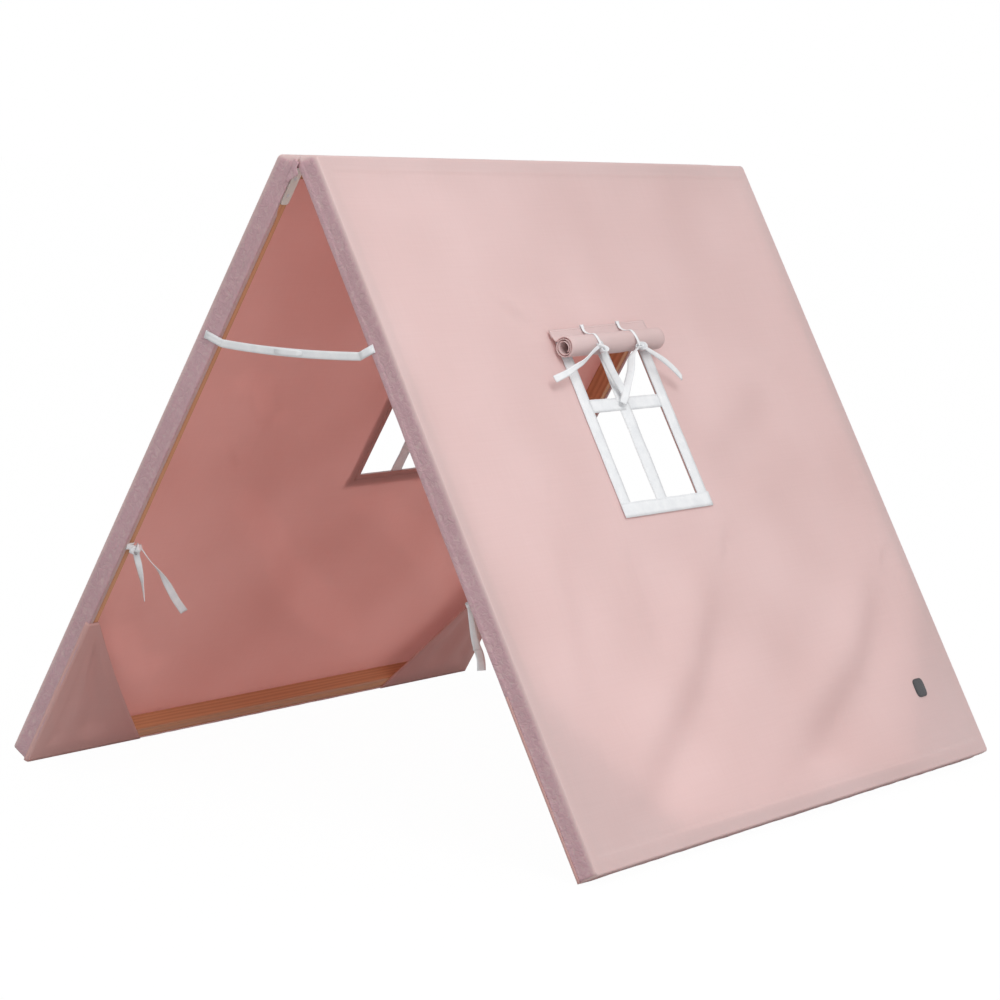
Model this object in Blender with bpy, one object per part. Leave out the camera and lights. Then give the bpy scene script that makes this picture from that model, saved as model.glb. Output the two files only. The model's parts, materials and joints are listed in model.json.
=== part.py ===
"""Play tent: two wooden frames in fitted cotton covers, hinged together along the ridge."""
import math

import bmesh
import bpy
from mathutils import Matrix, Vector

# Each panel is drawn in its own frame: X points out through the panel, Y runs along the ridge,
# Z runs up the slope, and the origin is on the hinge pin.

# Stance and frame, in metres
LEAN = math.radians(29.2)
PANEL_HEIGHT = 1.160
RIDGE_LENGTH = 1.200
BATTEN_FACE = 0.020
BATTEN_DEPTH = 0.036
BATTEN_EASE = 0.0012
CLEAR = 0.0003

# Cloth and tape
CLOTH = 0.0016
TAPE = 0.0011
TAPE_WIDTH = 0.012
POCKET_UP = 0.290
POCKET_ALONG = 0.270

# Strap hinges
LEAF_LENGTH = 0.070
LEAF_WIDTH = 0.018
LEAF_THICKNESS = 0.002
LEAF_CORNER = 0.004
LEAF_HALF_GAP = 0.0005
KNUCKLE_COUNT = 3
KNUCKLE_RADIUS = 0.004
KNUCKLE_GAP = 0.0003
PIN_RADIUS = 0.0017
PIN_HEAD_RADIUS = 0.0030
PIN_HEAD = 0.0012
SCREW_DEPTHS = (0.024, 0.054)
SCREW_LENGTH = 0.016
SCREW_RADIUS = 0.0018
SCREW_HEAD_RADIUS = 0.0036
SCREW_FIT = 0.0004

# Corner bolts and their barrel nuts
BOLT_LENGTH = 0.052
BOLT_RADIUS = 0.003
BOLT_HEAD_RADIUS = 0.0060
BOLT_HEAD = 0.0050
SOCKET_RADIUS = 0.0028
SOCKET_DEPTH = 0.0025
NUT_RADIUS = 0.005
NUT_LENGTH = 0.016
NUT_FROM_JOINT = 0.018
NUT_SLOT = 0.0014

# Window, flap and ties
WINDOW_CENTRE = -0.065
WINDOW_WIDTH = 0.194
WINDOW_TOP = 0.336
WINDOW_DROP = 0.279
# The windows of the two covers aren't sewn in quite the same place: their shift (along, up)
WINDOW_SHIFTS = {"right": (0.0, 0.0), "left": (-0.024, -0.038)}
TRIM_SIDE = 0.028
TRIM_FOOT = 0.025
UPRIGHT_BAR = 0.030
UPRIGHT_SHIFT = -0.008
CROSS_BAR = 0.023
CROSS_BAR_DOWN = 0.447
FLAP_WIDTH = 0.273
FLAP_LENGTH = 0.345
FLAP_HEM = 0.011
FLAP_STRAIGHT = 0.032
ROLL_PITCH = 0.0036
ROLL_CORE = 0.008
ROLL_STEPS = 18
FLAP_TIE_SPACING = 0.105
FLAP_TIE_SHIFT = 0.0105
STILE_TIE_DOWN = 0.710
KNOT_RADIUS = 0.0060
KNOT_TURN = math.radians(-62)
BAND_TURNS = (math.radians(142), math.radians(-104))

# Loose tails of the ties: lengths, and their points as shares of the length, from the knot.
# Over a flap a point is (out, away from the other tie, up), on a stile (down, inboard).
FLAP_TAIL_LONG = 0.130
FLAP_TAIL_SHORT = 0.095
FLAP_TAIL_LONG_POINTS = ((0.03, 0.23, -0.03), (0.0, 0.58, -0.15), (-0.06, 0.92, -0.37))
FLAP_TAIL_SHORT_POINTS = ((0.0, -0.06, -0.21), (-0.06, -0.19, -0.58), (-0.13, -0.32, -0.95))
STILE_TAIL_LONG = 0.135
STILE_TAIL_SHORT = 0.085
STILE_TAIL_LONG_POINTS = ((0.22, 0.12), (0.59, 0.27), (0.93, 0.37))
STILE_TAIL_SHORT_POINTS = ((0.35, 0.05), (1.0, 0.07))

# Straps across the open ends, and the plain patch
STRAP_WIDTH = 0.013
STRAP_DOWN = 0.316
STRAP_SAG = 0.008
PATCH_SIZE = 0.034
PATCH_CORNER = 0.006
PATCH_FROM_END = 0.136
PATCH_FROM_FOOT = 0.140

# Cover mesh and its folds: start and end as (along, down), half width, height
SHEET_STEP = 0.064
SHEET_MARGIN = 0.010
FOLD_FADE = 0.070
FOLDS = (
    ((0.06, 0.73), (-0.18, 0.94), 0.050, -0.007),
    ((-0.16, 0.92), (-0.46, 1.12), 0.055, -0.008),
    ((-0.04, 0.72), (-0.36, 1.06), 0.050, 0.008),
    ((0.52, 0.80), (0.30, 0.97), 0.045, -0.008),
    ((0.32, 0.95), (-0.02, 1.11), 0.050, -0.008),
    ((0.42, 0.82), (0.04, 1.07), 0.050, 0.008),
    ((0.42, 0.44), (0.12, 0.58), 0.050, 0.005),
    ((-0.38, 0.62), (-0.47, 1.00), 0.045, 0.005),
    ((-0.22, 0.29), (-0.50, 0.16), 0.035, 0.004),
)
ROUND_STEPS = 16
SMALL_STEPS = 12

# Planes through a panel, all worked out from the sizes above
WOOD_IN = LEAF_HALF_GAP + LEAF_THICKNESS + CLEAR
WOOD_OUT = WOOD_IN + BATTEN_DEPTH
WOOD_MID = (WOOD_IN + WOOD_OUT) / 2
SHEET_IN = WOOD_OUT + CLEAR
SHEET_OUT = SHEET_IN + CLOTH
POCKET_OUT = WOOD_IN - CLEAR
POCKET_IN = POCKET_OUT - CLOTH
TRIM_IN = SHEET_OUT + CLEAR
TRIM_OUT = TRIM_IN + TAPE
FLAP_IN = TRIM_OUT + CLEAR
FLAP_OUT = FLAP_IN + CLOTH

# Heights on a panel: the cover clears the knuckles, and the wood sits inside the cover
COVER_TOP = -(KNUCKLE_RADIUS + CLEAR)
WOOD_TOP = COVER_TOP - CLOTH - CLEAR
WOOD_FOOT = -PANEL_HEIGHT
COVER_FOOT = WOOD_FOOT - CLEAR - CLOTH
HALF_RIDGE = RIDGE_LENGTH / 2
COVER_END = HALF_RIDGE + CLEAR + CLOTH
RAIL_DEPTHS = (-WOOD_TOP + BATTEN_FACE / 2, -WOOD_FOOT - BATTEN_FACE / 2)
PATCH_PLACE = (COVER_END - PATCH_FROM_END, -COVER_FOOT - PATCH_FROM_FOOT)
PIVOT_HEIGHT = -COVER_FOOT * math.cos(LEAN) - POCKET_IN * math.sin(LEAN)

# Window edges on a panel
WINDOW_LEFT = WINDOW_CENTRE - WINDOW_WIDTH / 2
WINDOW_RIGHT = WINDOW_CENTRE + WINDOW_WIDTH / 2
WINDOW_FOOT = WINDOW_TOP + WINDOW_DROP
UPRIGHT_CENTRE = WINDOW_CENTRE + UPRIGHT_SHIFT
TRIM_TOP = WINDOW_TOP - TRIM_FOOT

# Rolled flap: its radius follows from the length of cloth that is rolled up
ROLL_RADIUS = math.sqrt((FLAP_LENGTH - FLAP_STRAIGHT) * ROLL_PITCH / math.pi + ROLL_CORE ** 2)
ROLL_CENTRE = Vector((FLAP_IN + ROLL_RADIUS, 0.0, -TRIM_TOP - FLAP_STRAIGHT))

SIDES = {"right": 1, "left": -1}
LOCAL_ENDS = (-1, 1)
WINDOW_KINDS = ("window_trim", "window_flap", "flap_tie")


def clear_scene():
    """Remove what the file opens with."""
    for found in list(bpy.data.objects):
        bpy.data.objects.remove(found)


def make_material(name, colour, roughness, metallic=0.0):
    """A plain Principled material."""
    material = bpy.data.materials.new(name)
    material.use_nodes = True
    shader = material.node_tree.nodes["Principled BSDF"]
    shader.inputs["Base Color"].default_value = (*colour, 1.0)
    shader.inputs["Roughness"].default_value = roughness
    shader.inputs["Metallic"].default_value = metallic
    material.diffuse_color = (*colour, 1.0)
    return material


def finish_mesh(bm, name, smooth=False):
    """Turn a bmesh into a mesh with its faces pointing out."""
    bmesh.ops.remove_doubles(bm, verts=bm.verts, dist=1e-6)
    bmesh.ops.recalc_face_normals(bm, faces=bm.faces)
    mesh = bpy.data.meshes.new(name)
    bm.to_mesh(mesh)
    bm.free()
    if smooth:
        mesh.shade_smooth()
        mesh.set_sharp_from_angle(angle=math.radians(38))
    return mesh


def place(name, mesh, material, parent):
    """Make the named object of a mesh, on its panel."""
    if not mesh.materials:
        mesh.materials.append(material)
    piece = bpy.data.objects.new(name, mesh)
    bpy.context.scene.collection.objects.link(piece)
    piece.parent = parent
    return piece


def combined(base, tools, operation):
    """Return the base mesh with each tool mesh cut from it or joined to it."""
    collection = bpy.context.scene.collection
    body = bpy.data.objects.new("work_body", base)
    collection.objects.link(body)
    helpers = []
    for tool in tools:
        helper = bpy.data.objects.new("work_tool", tool)
        collection.objects.link(helper)
        helpers.append(helper)
        modifier = body.modifiers.new("combine", "BOOLEAN")
        modifier.object = helper
        modifier.operation = operation
        modifier.solver = "EXACT"
    depsgraph = bpy.context.evaluated_depsgraph_get()
    result = bpy.data.meshes.new_from_object(body.evaluated_get(depsgraph))
    for extra in (body, *helpers):
        bpy.data.objects.remove(extra)
    return result


def box_mesh(low, high, ease=0.0):
    """A block between two corners, its edges eased if asked."""
    bm = bmesh.new()
    bmesh.ops.create_cube(bm, size=1.0)
    size = Vector(high) - Vector(low)
    middle = (Vector(high) + Vector(low)) / 2
    bmesh.ops.scale(bm, vec=size, verts=bm.verts)
    bmesh.ops.translate(bm, vec=middle, verts=bm.verts)
    if ease > 0:
        bmesh.ops.bevel(bm, geom=bm.edges[:], offset=ease, segments=1, affect="EDGES")
    return finish_mesh(bm, "block")


def turned_mesh(profile, steps, matrix):
    """Revolve (radius, height) points round Z, then move the shape by a matrix."""
    bm = bmesh.new()
    verts = [bm.verts.new((radius, 0.0, height)) for radius, height in profile]
    edges = [bm.edges.new(pair) for pair in zip(verts, verts[1:])]
    bmesh.ops.spin(
        bm, geom=verts + edges, cent=(0, 0, 0), axis=(0, 0, 1),
        angle=math.tau, steps=steps, use_merge=True,
    )
    bmesh.ops.transform(bm, matrix=matrix, verts=bm.verts)
    return finish_mesh(bm, "turned", smooth=True)


def plate_mesh(outline, low, high):
    """Extrude a closed outline of (y, z) points from x = low to x = high."""
    bm = bmesh.new()
    face = bm.faces.new([bm.verts.new((low, y, z)) for y, z in outline])
    made = bmesh.ops.extrude_face_region(bm, geom=[face])["geom"]
    moved = [item for item in made if isinstance(item, bmesh.types.BMVert)]
    bmesh.ops.translate(bm, vec=(high - low, 0, 0), verts=moved)
    return finish_mesh(bm, "plate")


def strip_mesh(side_a, side_b, low, high):
    """Extrude the strip between two lines of (x, z) points along Y."""
    bm = bmesh.new()
    rows = []
    for (ax, az), (bx, bz) in zip(side_a, side_b):
        rows.append([
            bm.verts.new((ax, low, az)), bm.verts.new((bx, low, bz)),
            bm.verts.new((bx, high, bz)), bm.verts.new((ax, high, az)),
        ])
    for row, following in zip(rows, rows[1:]):
        for index in range(4):
            near = (index + 1) % 4
            bm.faces.new((row[index], row[near], following[near], following[index]))
    bm.faces.new(rows[0])
    bm.faces.new(rows[-1])
    return finish_mesh(bm, "strip")


def smooth_route(points, steps):
    """Points on a smooth curve through the given ones."""
    points = [Vector(point) for point in points]
    ends = [2 * points[0] - points[1], *points, 2 * points[-1] - points[-2]]
    route = []
    for before, start, end, after in zip(ends, ends[1:], ends[2:], ends[3:]):
        for step in range(steps):
            t = step / steps
            route.append(0.5 * (
                2 * start + (end - before) * t
                + (2 * before - 5 * start + 4 * end - after) * t * t
                + (3 * start - before - 3 * end + after) * t ** 3
            ))
    return [*route, points[-1]]


def tape_mesh(route, width, thickness, across_start, across_end=None):
    """A flat tape along a route. Its width lies along the across direction."""
    across_start = Vector(across_start)
    across_end = Vector(across_end) if across_end else across_start
    bm = bmesh.new()
    rings = []
    last = len(route) - 1
    for index, point in enumerate(route):
        tangent = (route[min(index + 1, last)] - route[max(index - 1, 0)]).normalized()
        across = across_start.lerp(across_end, index / last)
        across = (across - tangent * across.dot(tangent)).normalized()
        normal = tangent.cross(across)
        half, thin = across * width / 2, normal * thickness / 2
        corners = (point + half + thin, point - half + thin, point - half - thin, point + half - thin)
        rings.append([bm.verts.new(corner) for corner in corners])
    for ring, following in zip(rings, rings[1:]):
        for index in range(4):
            near = (index + 1) % 4
            bm.faces.new((ring[index], ring[near], following[near], following[index]))
    bm.faces.new(rings[0])
    bm.faces.new(rings[-1])
    return finish_mesh(bm, "tape")


def knot_mesh(centre, radii):
    """A tied knot, as a rounded lump."""
    bm = bmesh.new()
    bmesh.ops.create_uvsphere(bm, u_segments=8, v_segments=5, radius=1.0)
    bmesh.ops.scale(bm, vec=radii, verts=bm.verts)
    bmesh.ops.translate(bm, vec=centre, verts=bm.verts)
    return finish_mesh(bm, "knot", smooth=True)


def bolt_matrix(end, down):
    """Bolt axes: the origin on the stile's outer face, Z pointing out along the ridge."""
    turn = Matrix.Rotation(-end * math.pi / 2, 4, "X")
    return Matrix.Translation((WOOD_MID, end * HALF_RIDGE, -down)) @ turn


def bolt_profile(extra):
    """Bolt outline from its tip to its head; extra widens it for the hole."""
    head_foot = -CLEAR - BOLT_HEAD - extra
    top = -CLEAR if extra == 0 else CLEAR + BOLT_HEAD
    return (
        (0.0, -BOLT_LENGTH - extra), (BOLT_RADIUS + extra, -BOLT_LENGTH - extra),
        (BOLT_RADIUS + extra, head_foot), (BOLT_HEAD_RADIUS + extra, head_foot),
        (BOLT_HEAD_RADIUS + extra, top), (0.0, top),
    )


def bolt_mesh(end, down):
    """Socket-head bolt that draws a stile against a rail."""
    matrix = bolt_matrix(end, down)
    bolt = turned_mesh(bolt_profile(0.0), SMALL_STEPS, matrix)
    floor = -CLEAR - SOCKET_DEPTH
    key = ((0.0, floor), (SOCKET_RADIUS, floor), (SOCKET_RADIUS, CLEAR), (0.0, CLEAR))
    return combined(bolt, [turned_mesh(key, 6, matrix)], "DIFFERENCE")


def bolt_hole(end, down):
    """Counterbored hole for a bolt, through the stile and into the rail."""
    return turned_mesh(bolt_profile(CLEAR), SMALL_STEPS, bolt_matrix(end, down))


def nut_place(end, down):
    """Barrel nut axes: the origin in the middle of the rail, Z pointing into the tent."""
    along = end * (HALF_RIDGE - BATTEN_FACE - NUT_FROM_JOINT)
    turn = Matrix.Rotation(-math.pi / 2, 4, "Y")
    return Matrix.Translation((WOOD_MID, along, -down)) @ turn


def nut_mesh(end, down):
    """Barrel nut lying across the rail, bored for the bolt and slotted for a driver."""
    matrix = nut_place(end, down)
    half = NUT_LENGTH / 2
    profile = ((0.0, -half), (NUT_RADIUS, -half), (NUT_RADIUS, half), (0.0, half))
    nut = turned_mesh(profile, ROUND_STEPS, matrix)
    inner_face = WOOD_MID - half
    middle = matrix.translation
    slot = box_mesh(
        (inner_face - NUT_SLOT, middle.y - NUT_RADIUS * 2, middle.z - NUT_SLOT / 2),
        (inner_face + NUT_SLOT, middle.y + NUT_RADIUS * 2, middle.z + NUT_SLOT / 2),
    )
    return combined(nut, [bolt_hole(end, down), slot], "DIFFERENCE")


def nut_hole(end, down):
    """Hole for a barrel nut, drilled from the rail's inner face."""
    half = NUT_LENGTH / 2 + CLEAR
    radius = NUT_RADIUS + CLEAR
    profile = ((0.0, -half), (radius, -half), (radius, BATTEN_DEPTH), (0.0, BATTEN_DEPTH))
    return turned_mesh(profile, ROUND_STEPS, nut_place(end, down))


def screw_matrix(end, down):
    """Screw axes: the origin on the leaf's open face, Z pointing into the wood."""
    leaf_middle = end * (HALF_RIDGE - BATTEN_FACE / 2)
    turn = Matrix.Rotation(math.pi / 2, 4, "Y")
    return Matrix.Translation((LEAF_HALF_GAP, leaf_middle, -down)) @ turn


def screw_profile(extra):
    """Countersunk screw outline; extra widens it for the hole."""
    shank = SCREW_RADIUS + extra
    top = CLEAR / 2 if extra == 0 else 0.0
    profile = [(0.0, top), (SCREW_HEAD_RADIUS + extra, top)]
    profile += [(shank, LEAF_THICKNESS * 0.75), (shank, SCREW_LENGTH * 0.8 + extra)]
    profile += [(0.0, SCREW_LENGTH + extra)]
    if extra > 0:
        profile[:1] = [(0.0, -LEAF_THICKNESS), (SCREW_HEAD_RADIUS + extra, -LEAF_THICKNESS)]
    return profile[::-1]


def screw_mesh(end, down, extra=0.0):
    """Countersunk wood screw, or the hole for one."""
    return turned_mesh(screw_profile(extra), SMALL_STEPS, screw_matrix(end, down))


def stile_mesh(end):
    """Sloping side batten of a panel, bored for its bolts and hinge screws."""
    low = (WOOD_IN, end * HALF_RIDGE - max(end, 0) * BATTEN_FACE, WOOD_FOOT)
    high = (WOOD_OUT, low[1] + BATTEN_FACE, WOOD_TOP)
    holes = [bolt_hole(end, down) for down in RAIL_DEPTHS]
    holes += [screw_mesh(end, down, SCREW_FIT) for down in SCREW_DEPTHS]
    return combined(box_mesh(low, high, BATTEN_EASE), holes, "DIFFERENCE")


def rail_mesh(down):
    """Batten along the ridge or the foot, bored for bolts and barrel nuts."""
    reach = HALF_RIDGE - BATTEN_FACE - CLEAR
    low = (WOOD_IN, -reach, -down - BATTEN_FACE / 2)
    high = (WOOD_OUT, reach, -down + BATTEN_FACE / 2)
    holes = [bolt_hole(end, down) for end in LOCAL_ENDS]
    holes += [nut_hole(end, down) for end in LOCAL_ENDS]
    return combined(box_mesh(low, high, BATTEN_EASE), holes, "DIFFERENCE")


def smooth_step(value):
    """Ease from 0 to 1."""
    value = min(max(value, 0.0), 1.0)
    return value * value * (3.0 - 2.0 * value)


def outside(value, low, high):
    """How far a value lies outside a range."""
    return max(low - value, value - high, 0.0)


def fold_height(along, down, shift):
    """How far the folds lift the sheet here; nothing over the wood, window and patch."""
    total = 0.0
    for start, end, half_width, height in FOLDS:
        run = Vector(end) - Vector(start)
        offset = Vector((along, down)) - Vector(start)
        share = min(max(offset.dot(run) / run.length_squared, 0.0), 1.0)
        away = (offset - run * share).length / half_width
        total += height * math.exp(-away * away)
    edge = min(
        HALF_RIDGE - BATTEN_FACE - SHEET_MARGIN - abs(along),
        down + WOOD_TOP - BATTEN_FACE - SHEET_MARGIN,
        -WOOD_FOOT - BATTEN_FACE - SHEET_MARGIN - down,
    )
    reach = FLAP_WIDTH / 2 + SHEET_STEP
    top, foot = TRIM_TOP - FLAP_HEM - SHEET_STEP, WINDOW_FOOT + TRIM_FOOT + SHEET_STEP
    window = math.hypot(
        outside(along - shift[0], WINDOW_CENTRE - reach, WINDOW_CENTRE + reach),
        outside(down + shift[1], top, foot),
    )
    patch = math.hypot(along - PATCH_PLACE[0], down - PATCH_PLACE[1]) - PATCH_SIZE - SHEET_STEP
    fade = smooth_step(edge / FOLD_FADE) * smooth_step(window / FOLD_FADE)
    return total * fade * smooth_step(patch / FOLD_FADE)


def grid_lines(stops):
    """Lines through the stops, with even steps between them."""
    lines = [stops[0]]
    for start, end in zip(stops, stops[1:]):
        count = max(1, round((end - start) / SHEET_STEP))
        lines += [start + (end - start) * (step + 1) / count for step in range(count)]
    return lines


def cover_mesh(shift):
    """Fitted cotton cover: the sheet with its window, and a return over each side of the frame."""
    margin = HALF_RIDGE - BATTEN_FACE - SHEET_MARGIN
    left, right = WINDOW_LEFT + shift[0], WINDOW_RIGHT + shift[0]
    ys = grid_lines((-COVER_END, -margin, left, right, margin, COVER_END))
    top, foot = WINDOW_TOP - shift[1], WINDOW_FOOT - shift[1]
    top_margin = -WOOD_TOP + BATTEN_FACE + SHEET_MARGIN
    foot_margin = -WOOD_FOOT - BATTEN_FACE - SHEET_MARGIN
    downs = grid_lines((-COVER_TOP, top_margin, top, foot, foot_margin, -COVER_FOOT))
    bm = bmesh.new()
    grid = []
    for down in downs:
        heights = [SHEET_OUT + fold_height(y, down, shift) for y in ys]
        grid.append([bm.verts.new((height, y, -down)) for height, y in zip(heights, ys)])
    for row, (down, below) in enumerate(zip(downs, downs[1:])):
        for column, (y, beside) in enumerate(zip(ys, ys[1:])):
            in_window = top < (down + below) / 2 < foot and left < (y + beside) / 2 < right
            if not in_window:
                bm.faces.new((
                    grid[row][column], grid[row + 1][column],
                    grid[row + 1][column + 1], grid[row][column + 1],
                ))
    rim = [grid[0][column] for column in range(len(ys))]
    rim += [grid[row][-1] for row in range(1, len(downs))]
    rim += [grid[-1][column] for column in range(len(ys) - 2, -1, -1)]
    rim += [grid[row][0] for row in range(len(downs) - 2, 0, -1)]
    hem = [bm.verts.new((WOOD_IN, vert.co.y, vert.co.z)) for vert in rim]
    for index in range(len(rim)):
        near = (index + 1) % len(rim)
        bm.faces.new((rim[index], rim[near], hem[near], hem[index]))
    bmesh.ops.delete(bm, geom=[vert for vert in bm.verts if not vert.link_faces], context="VERTS")
    return finish_mesh(bm, "cover")


def add_cover(name, mesh, material, parent):
    """Place a cover and give its cloth a thickness, inward from the outer face."""
    cover = place(name, mesh, material, parent)
    solidify = cover.modifiers.new("cloth", "SOLIDIFY")
    solidify.thickness = CLOTH
    solidify.offset = -1.0
    solidify.use_even_offset = True
    return cover


def pocket_mesh(end):
    """Corner pocket: a cloth gusset over the inside of a lower corner of the frame."""
    side = end * COVER_END
    inboard = end * (HALF_RIDGE - BATTEN_FACE)
    tip = end * (COVER_END - POCKET_ALONG)
    outline = (
        (side, COVER_FOOT), (side, COVER_FOOT + POCKET_UP), (inboard, COVER_FOOT + POCKET_UP),
        (tip, WOOD_FOOT + BATTEN_FACE), (tip, COVER_FOOT),
    )
    return plate_mesh(outline, POCKET_IN, POCKET_OUT)


def trim_mesh():
    """White tape round the window, with its upright and cross bars, in one piece."""
    ys = (
        WINDOW_LEFT - TRIM_SIDE, WINDOW_LEFT, UPRIGHT_CENTRE - UPRIGHT_BAR / 2,
        UPRIGHT_CENTRE + UPRIGHT_BAR / 2, WINDOW_RIGHT, WINDOW_RIGHT + TRIM_SIDE,
    )
    zs = (
        -WINDOW_FOOT - TRIM_FOOT, -WINDOW_FOOT, -CROSS_BAR_DOWN - CROSS_BAR / 2,
        -CROSS_BAR_DOWN + CROSS_BAR / 2, -WINDOW_TOP, -TRIM_TOP,
    )
    panes = (1, 3)
    bm = bmesh.new()
    grid = [[bm.verts.new((TRIM_IN, y, z)) for y in ys] for z in zs]
    for row in range(len(zs) - 1):
        for column in range(len(ys) - 1):
            if not (row in panes and column in panes):
                bm.faces.new((
                    grid[row][column], grid[row][column + 1],
                    grid[row + 1][column + 1], grid[row + 1][column],
                ))
    made = bmesh.ops.extrude_face_region(bm, geom=bm.faces[:])["geom"]
    moved = [item for item in made if isinstance(item, bmesh.types.BMVert)]
    bmesh.ops.translate(bm, vec=(TAPE, 0, 0), verts=moved)
    return finish_mesh(bm, "trim")


def roll_point(radius, turned):
    """A point of the roll, turned down and out from where it leaves the sheet."""
    angle = math.pi + turned
    return (ROLL_CENTRE.x + radius * math.cos(angle), ROLL_CENTRE.z + radius * math.sin(angle))


def flap_mesh():
    """Window flap rolled up to its seam: a hem, a short drop and a spiral roll."""
    turns = (ROLL_RADIUS - ROLL_CORE) / ROLL_PITCH
    count = round(turns * ROLL_STEPS)
    hem_top = -TRIM_TOP + FLAP_HEM
    hem_foot = -TRIM_TOP + CLEAR
    face = [(TRIM_IN, hem_top), (TRIM_IN, hem_foot), (FLAP_IN, hem_foot)]
    back = [(FLAP_OUT, hem_top), (FLAP_OUT, hem_foot), (FLAP_OUT, hem_foot - CLEAR)]
    for step in range(count + 1):
        turned = step * math.tau / ROLL_STEPS
        radius = ROLL_RADIUS - ROLL_PITCH * turned / math.tau
        face.append(roll_point(radius, turned))
        back.append(roll_point(radius - CLOTH, turned))
    report_roll_gap(face[3:], back[3:])
    middle = WINDOW_CENTRE
    return strip_mesh(face, back, middle - FLAP_WIDTH / 2, middle + FLAP_WIDTH / 2)


def report_roll_gap(face, back):
    """Print the least gap between one turn of the roll and the next."""
    gaps = [
        math.dist(inner, outer)
        for inner, outer in zip(back, face[ROLL_STEPS:])
    ]
    print(f"least gap between turns of the rolled flap: {1000 * min(gaps):.2f} mm")


def tail_route(knot, length, axes, points):
    """Route of a loose tail from its knot through points given as shares of its length."""
    route = [knot]
    for shares in points:
        offset = sum((axis * share for axis, share in zip(axes, shares)), Vector())
        route.append(knot + offset * length)
    return smooth_route(route, 2)


def flap_tie_mesh(place_along, outer):
    """Tape that holds the rolled flap: a band over the roll, a knot and two tails."""
    (first, last), count = BAND_TURNS, 9
    chord = (first - last) / count
    reach = (ROLL_RADIUS + CLEAR) / math.cos(chord / 2) + TAPE / 2
    start = Vector((FLAP_OUT + CLEAR + TAPE / 2, place_along, -TRIM_TOP + FLAP_HEM / 2))
    route = [start]
    for step in range(count + 1):
        angle = first + (last - first) * step / count
        route.append(Vector((
            ROLL_CENTRE.x + reach * math.cos(angle), place_along,
            ROLL_CENTRE.z + reach * math.sin(angle),
        )))
    band = tape_mesh(route, TAPE_WIDTH, TAPE, (0, 1, 0))
    knot_reach = ROLL_RADIUS + CLEAR + KNOT_RADIUS
    knot = Vector((
        ROLL_CENTRE.x + knot_reach * math.cos(KNOT_TURN), place_along,
        ROLL_CENTRE.z + knot_reach * math.sin(KNOT_TURN),
    ))
    axes = (Vector((1, 0, 0)), Vector((0, outer, 0)), Vector((0, 0, 1)))
    long_tail = tail_route(knot, FLAP_TAIL_LONG, axes, FLAP_TAIL_LONG_POINTS)
    short_tail = tail_route(knot, FLAP_TAIL_SHORT, axes, FLAP_TAIL_SHORT_POINTS)
    pieces = [
        tape_mesh(long_tail, TAPE_WIDTH, TAPE, (0, 0, 1), (0.4, 0, 1)),
        tape_mesh(short_tail, TAPE_WIDTH, TAPE, (0, 1, 0), (0.3, 1, 0)),
        knot_mesh(knot, (KNOT_RADIUS * 0.8, KNOT_RADIUS, KNOT_RADIUS)),
    ]
    return combined(band, pieces, "UNION")


def stile_tie_mesh(end):
    """Tape tied round a stile: a band on two of its faces, a knot and two hanging tails."""
    inboard = end * (HALF_RIDGE - BATTEN_FACE - CLEAR - TAPE / 2)
    inner = WOOD_IN - CLEAR - TAPE / 2
    down = -STILE_TIE_DOWN
    route = smooth_route((
        (WOOD_OUT - TAPE_WIDTH / 3, inboard, down), (WOOD_MID, inboard, down),
        (WOOD_IN + TAPE, inboard, down),
    ), 1)
    route += smooth_route((
        (inner, inboard, down), (inner, end * (HALF_RIDGE - BATTEN_FACE / 2), down),
        (inner, end * (HALF_RIDGE - BATTEN_FACE / 6), down),
    ), 1)
    band = tape_mesh(route, TAPE_WIDTH, TAPE, (0, 0, 1))
    knot = Vector((inner - KNOT_RADIUS * 0.6, inboard - end * TAPE, down - TAPE_WIDTH * 0.2))
    axes = (Vector((-math.sin(LEAN), 0, -math.cos(LEAN))), Vector((0, -end, 0)))
    short_tail = tail_route(knot, STILE_TAIL_SHORT, axes, STILE_TAIL_SHORT_POINTS)
    long_tail = tail_route(knot, STILE_TAIL_LONG, axes, STILE_TAIL_LONG_POINTS)
    pieces = [
        tape_mesh(short_tail, TAPE_WIDTH, TAPE, (1, 0, 0), (1, 0.3, 0)),
        tape_mesh(long_tail, TAPE_WIDTH, TAPE, (0.6, 1, 0), (0, 1, 0)),
        knot_mesh(knot, (KNOT_RADIUS, KNOT_RADIUS, KNOT_RADIUS)),
    ]
    return combined(band, pieces, "UNION")


def knuckle_span(index):
    """The start and end of a knuckle along the hinge, from the middle of the leaf."""
    length = (LEAF_WIDTH - KNUCKLE_GAP * (KNUCKLE_COUNT - 1)) / KNUCKLE_COUNT
    start = -LEAF_WIDTH / 2 + index * (length + KNUCKLE_GAP)
    return start, start + length


def leaf_outline(own):
    """Leaf with rounded lower corners and a tab up to each of its own knuckles."""
    half = LEAF_WIDTH / 2
    foot = -LEAF_LENGTH
    shoulder = -(KNUCKLE_RADIUS + 4 * CLEAR)
    tab_top = -(KNUCKLE_RADIUS + PIN_RADIUS + CLEAR) / 2
    outline = []
    for centre_y, start in ((half - LEAF_CORNER, -90), (-half + LEAF_CORNER, 180)):
        for step in range(5):
            angle = math.radians(start + step * 22.5)
            point = (
                centre_y + LEAF_CORNER * math.cos(angle),
                foot + LEAF_CORNER + LEAF_CORNER * math.sin(angle),
            )
            outline.append(point)
        if start == -90:
            outline.append((half, shoulder))
            for index in reversed(own):
                low, high = knuckle_span(index)
                low, high = low + CLEAR / 2, high - CLEAR / 2
                outline += [(high, shoulder), (high, tab_top), (low, tab_top), (low, shoulder)]
            outline.append((-half, shoulder))
    return outline


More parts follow.
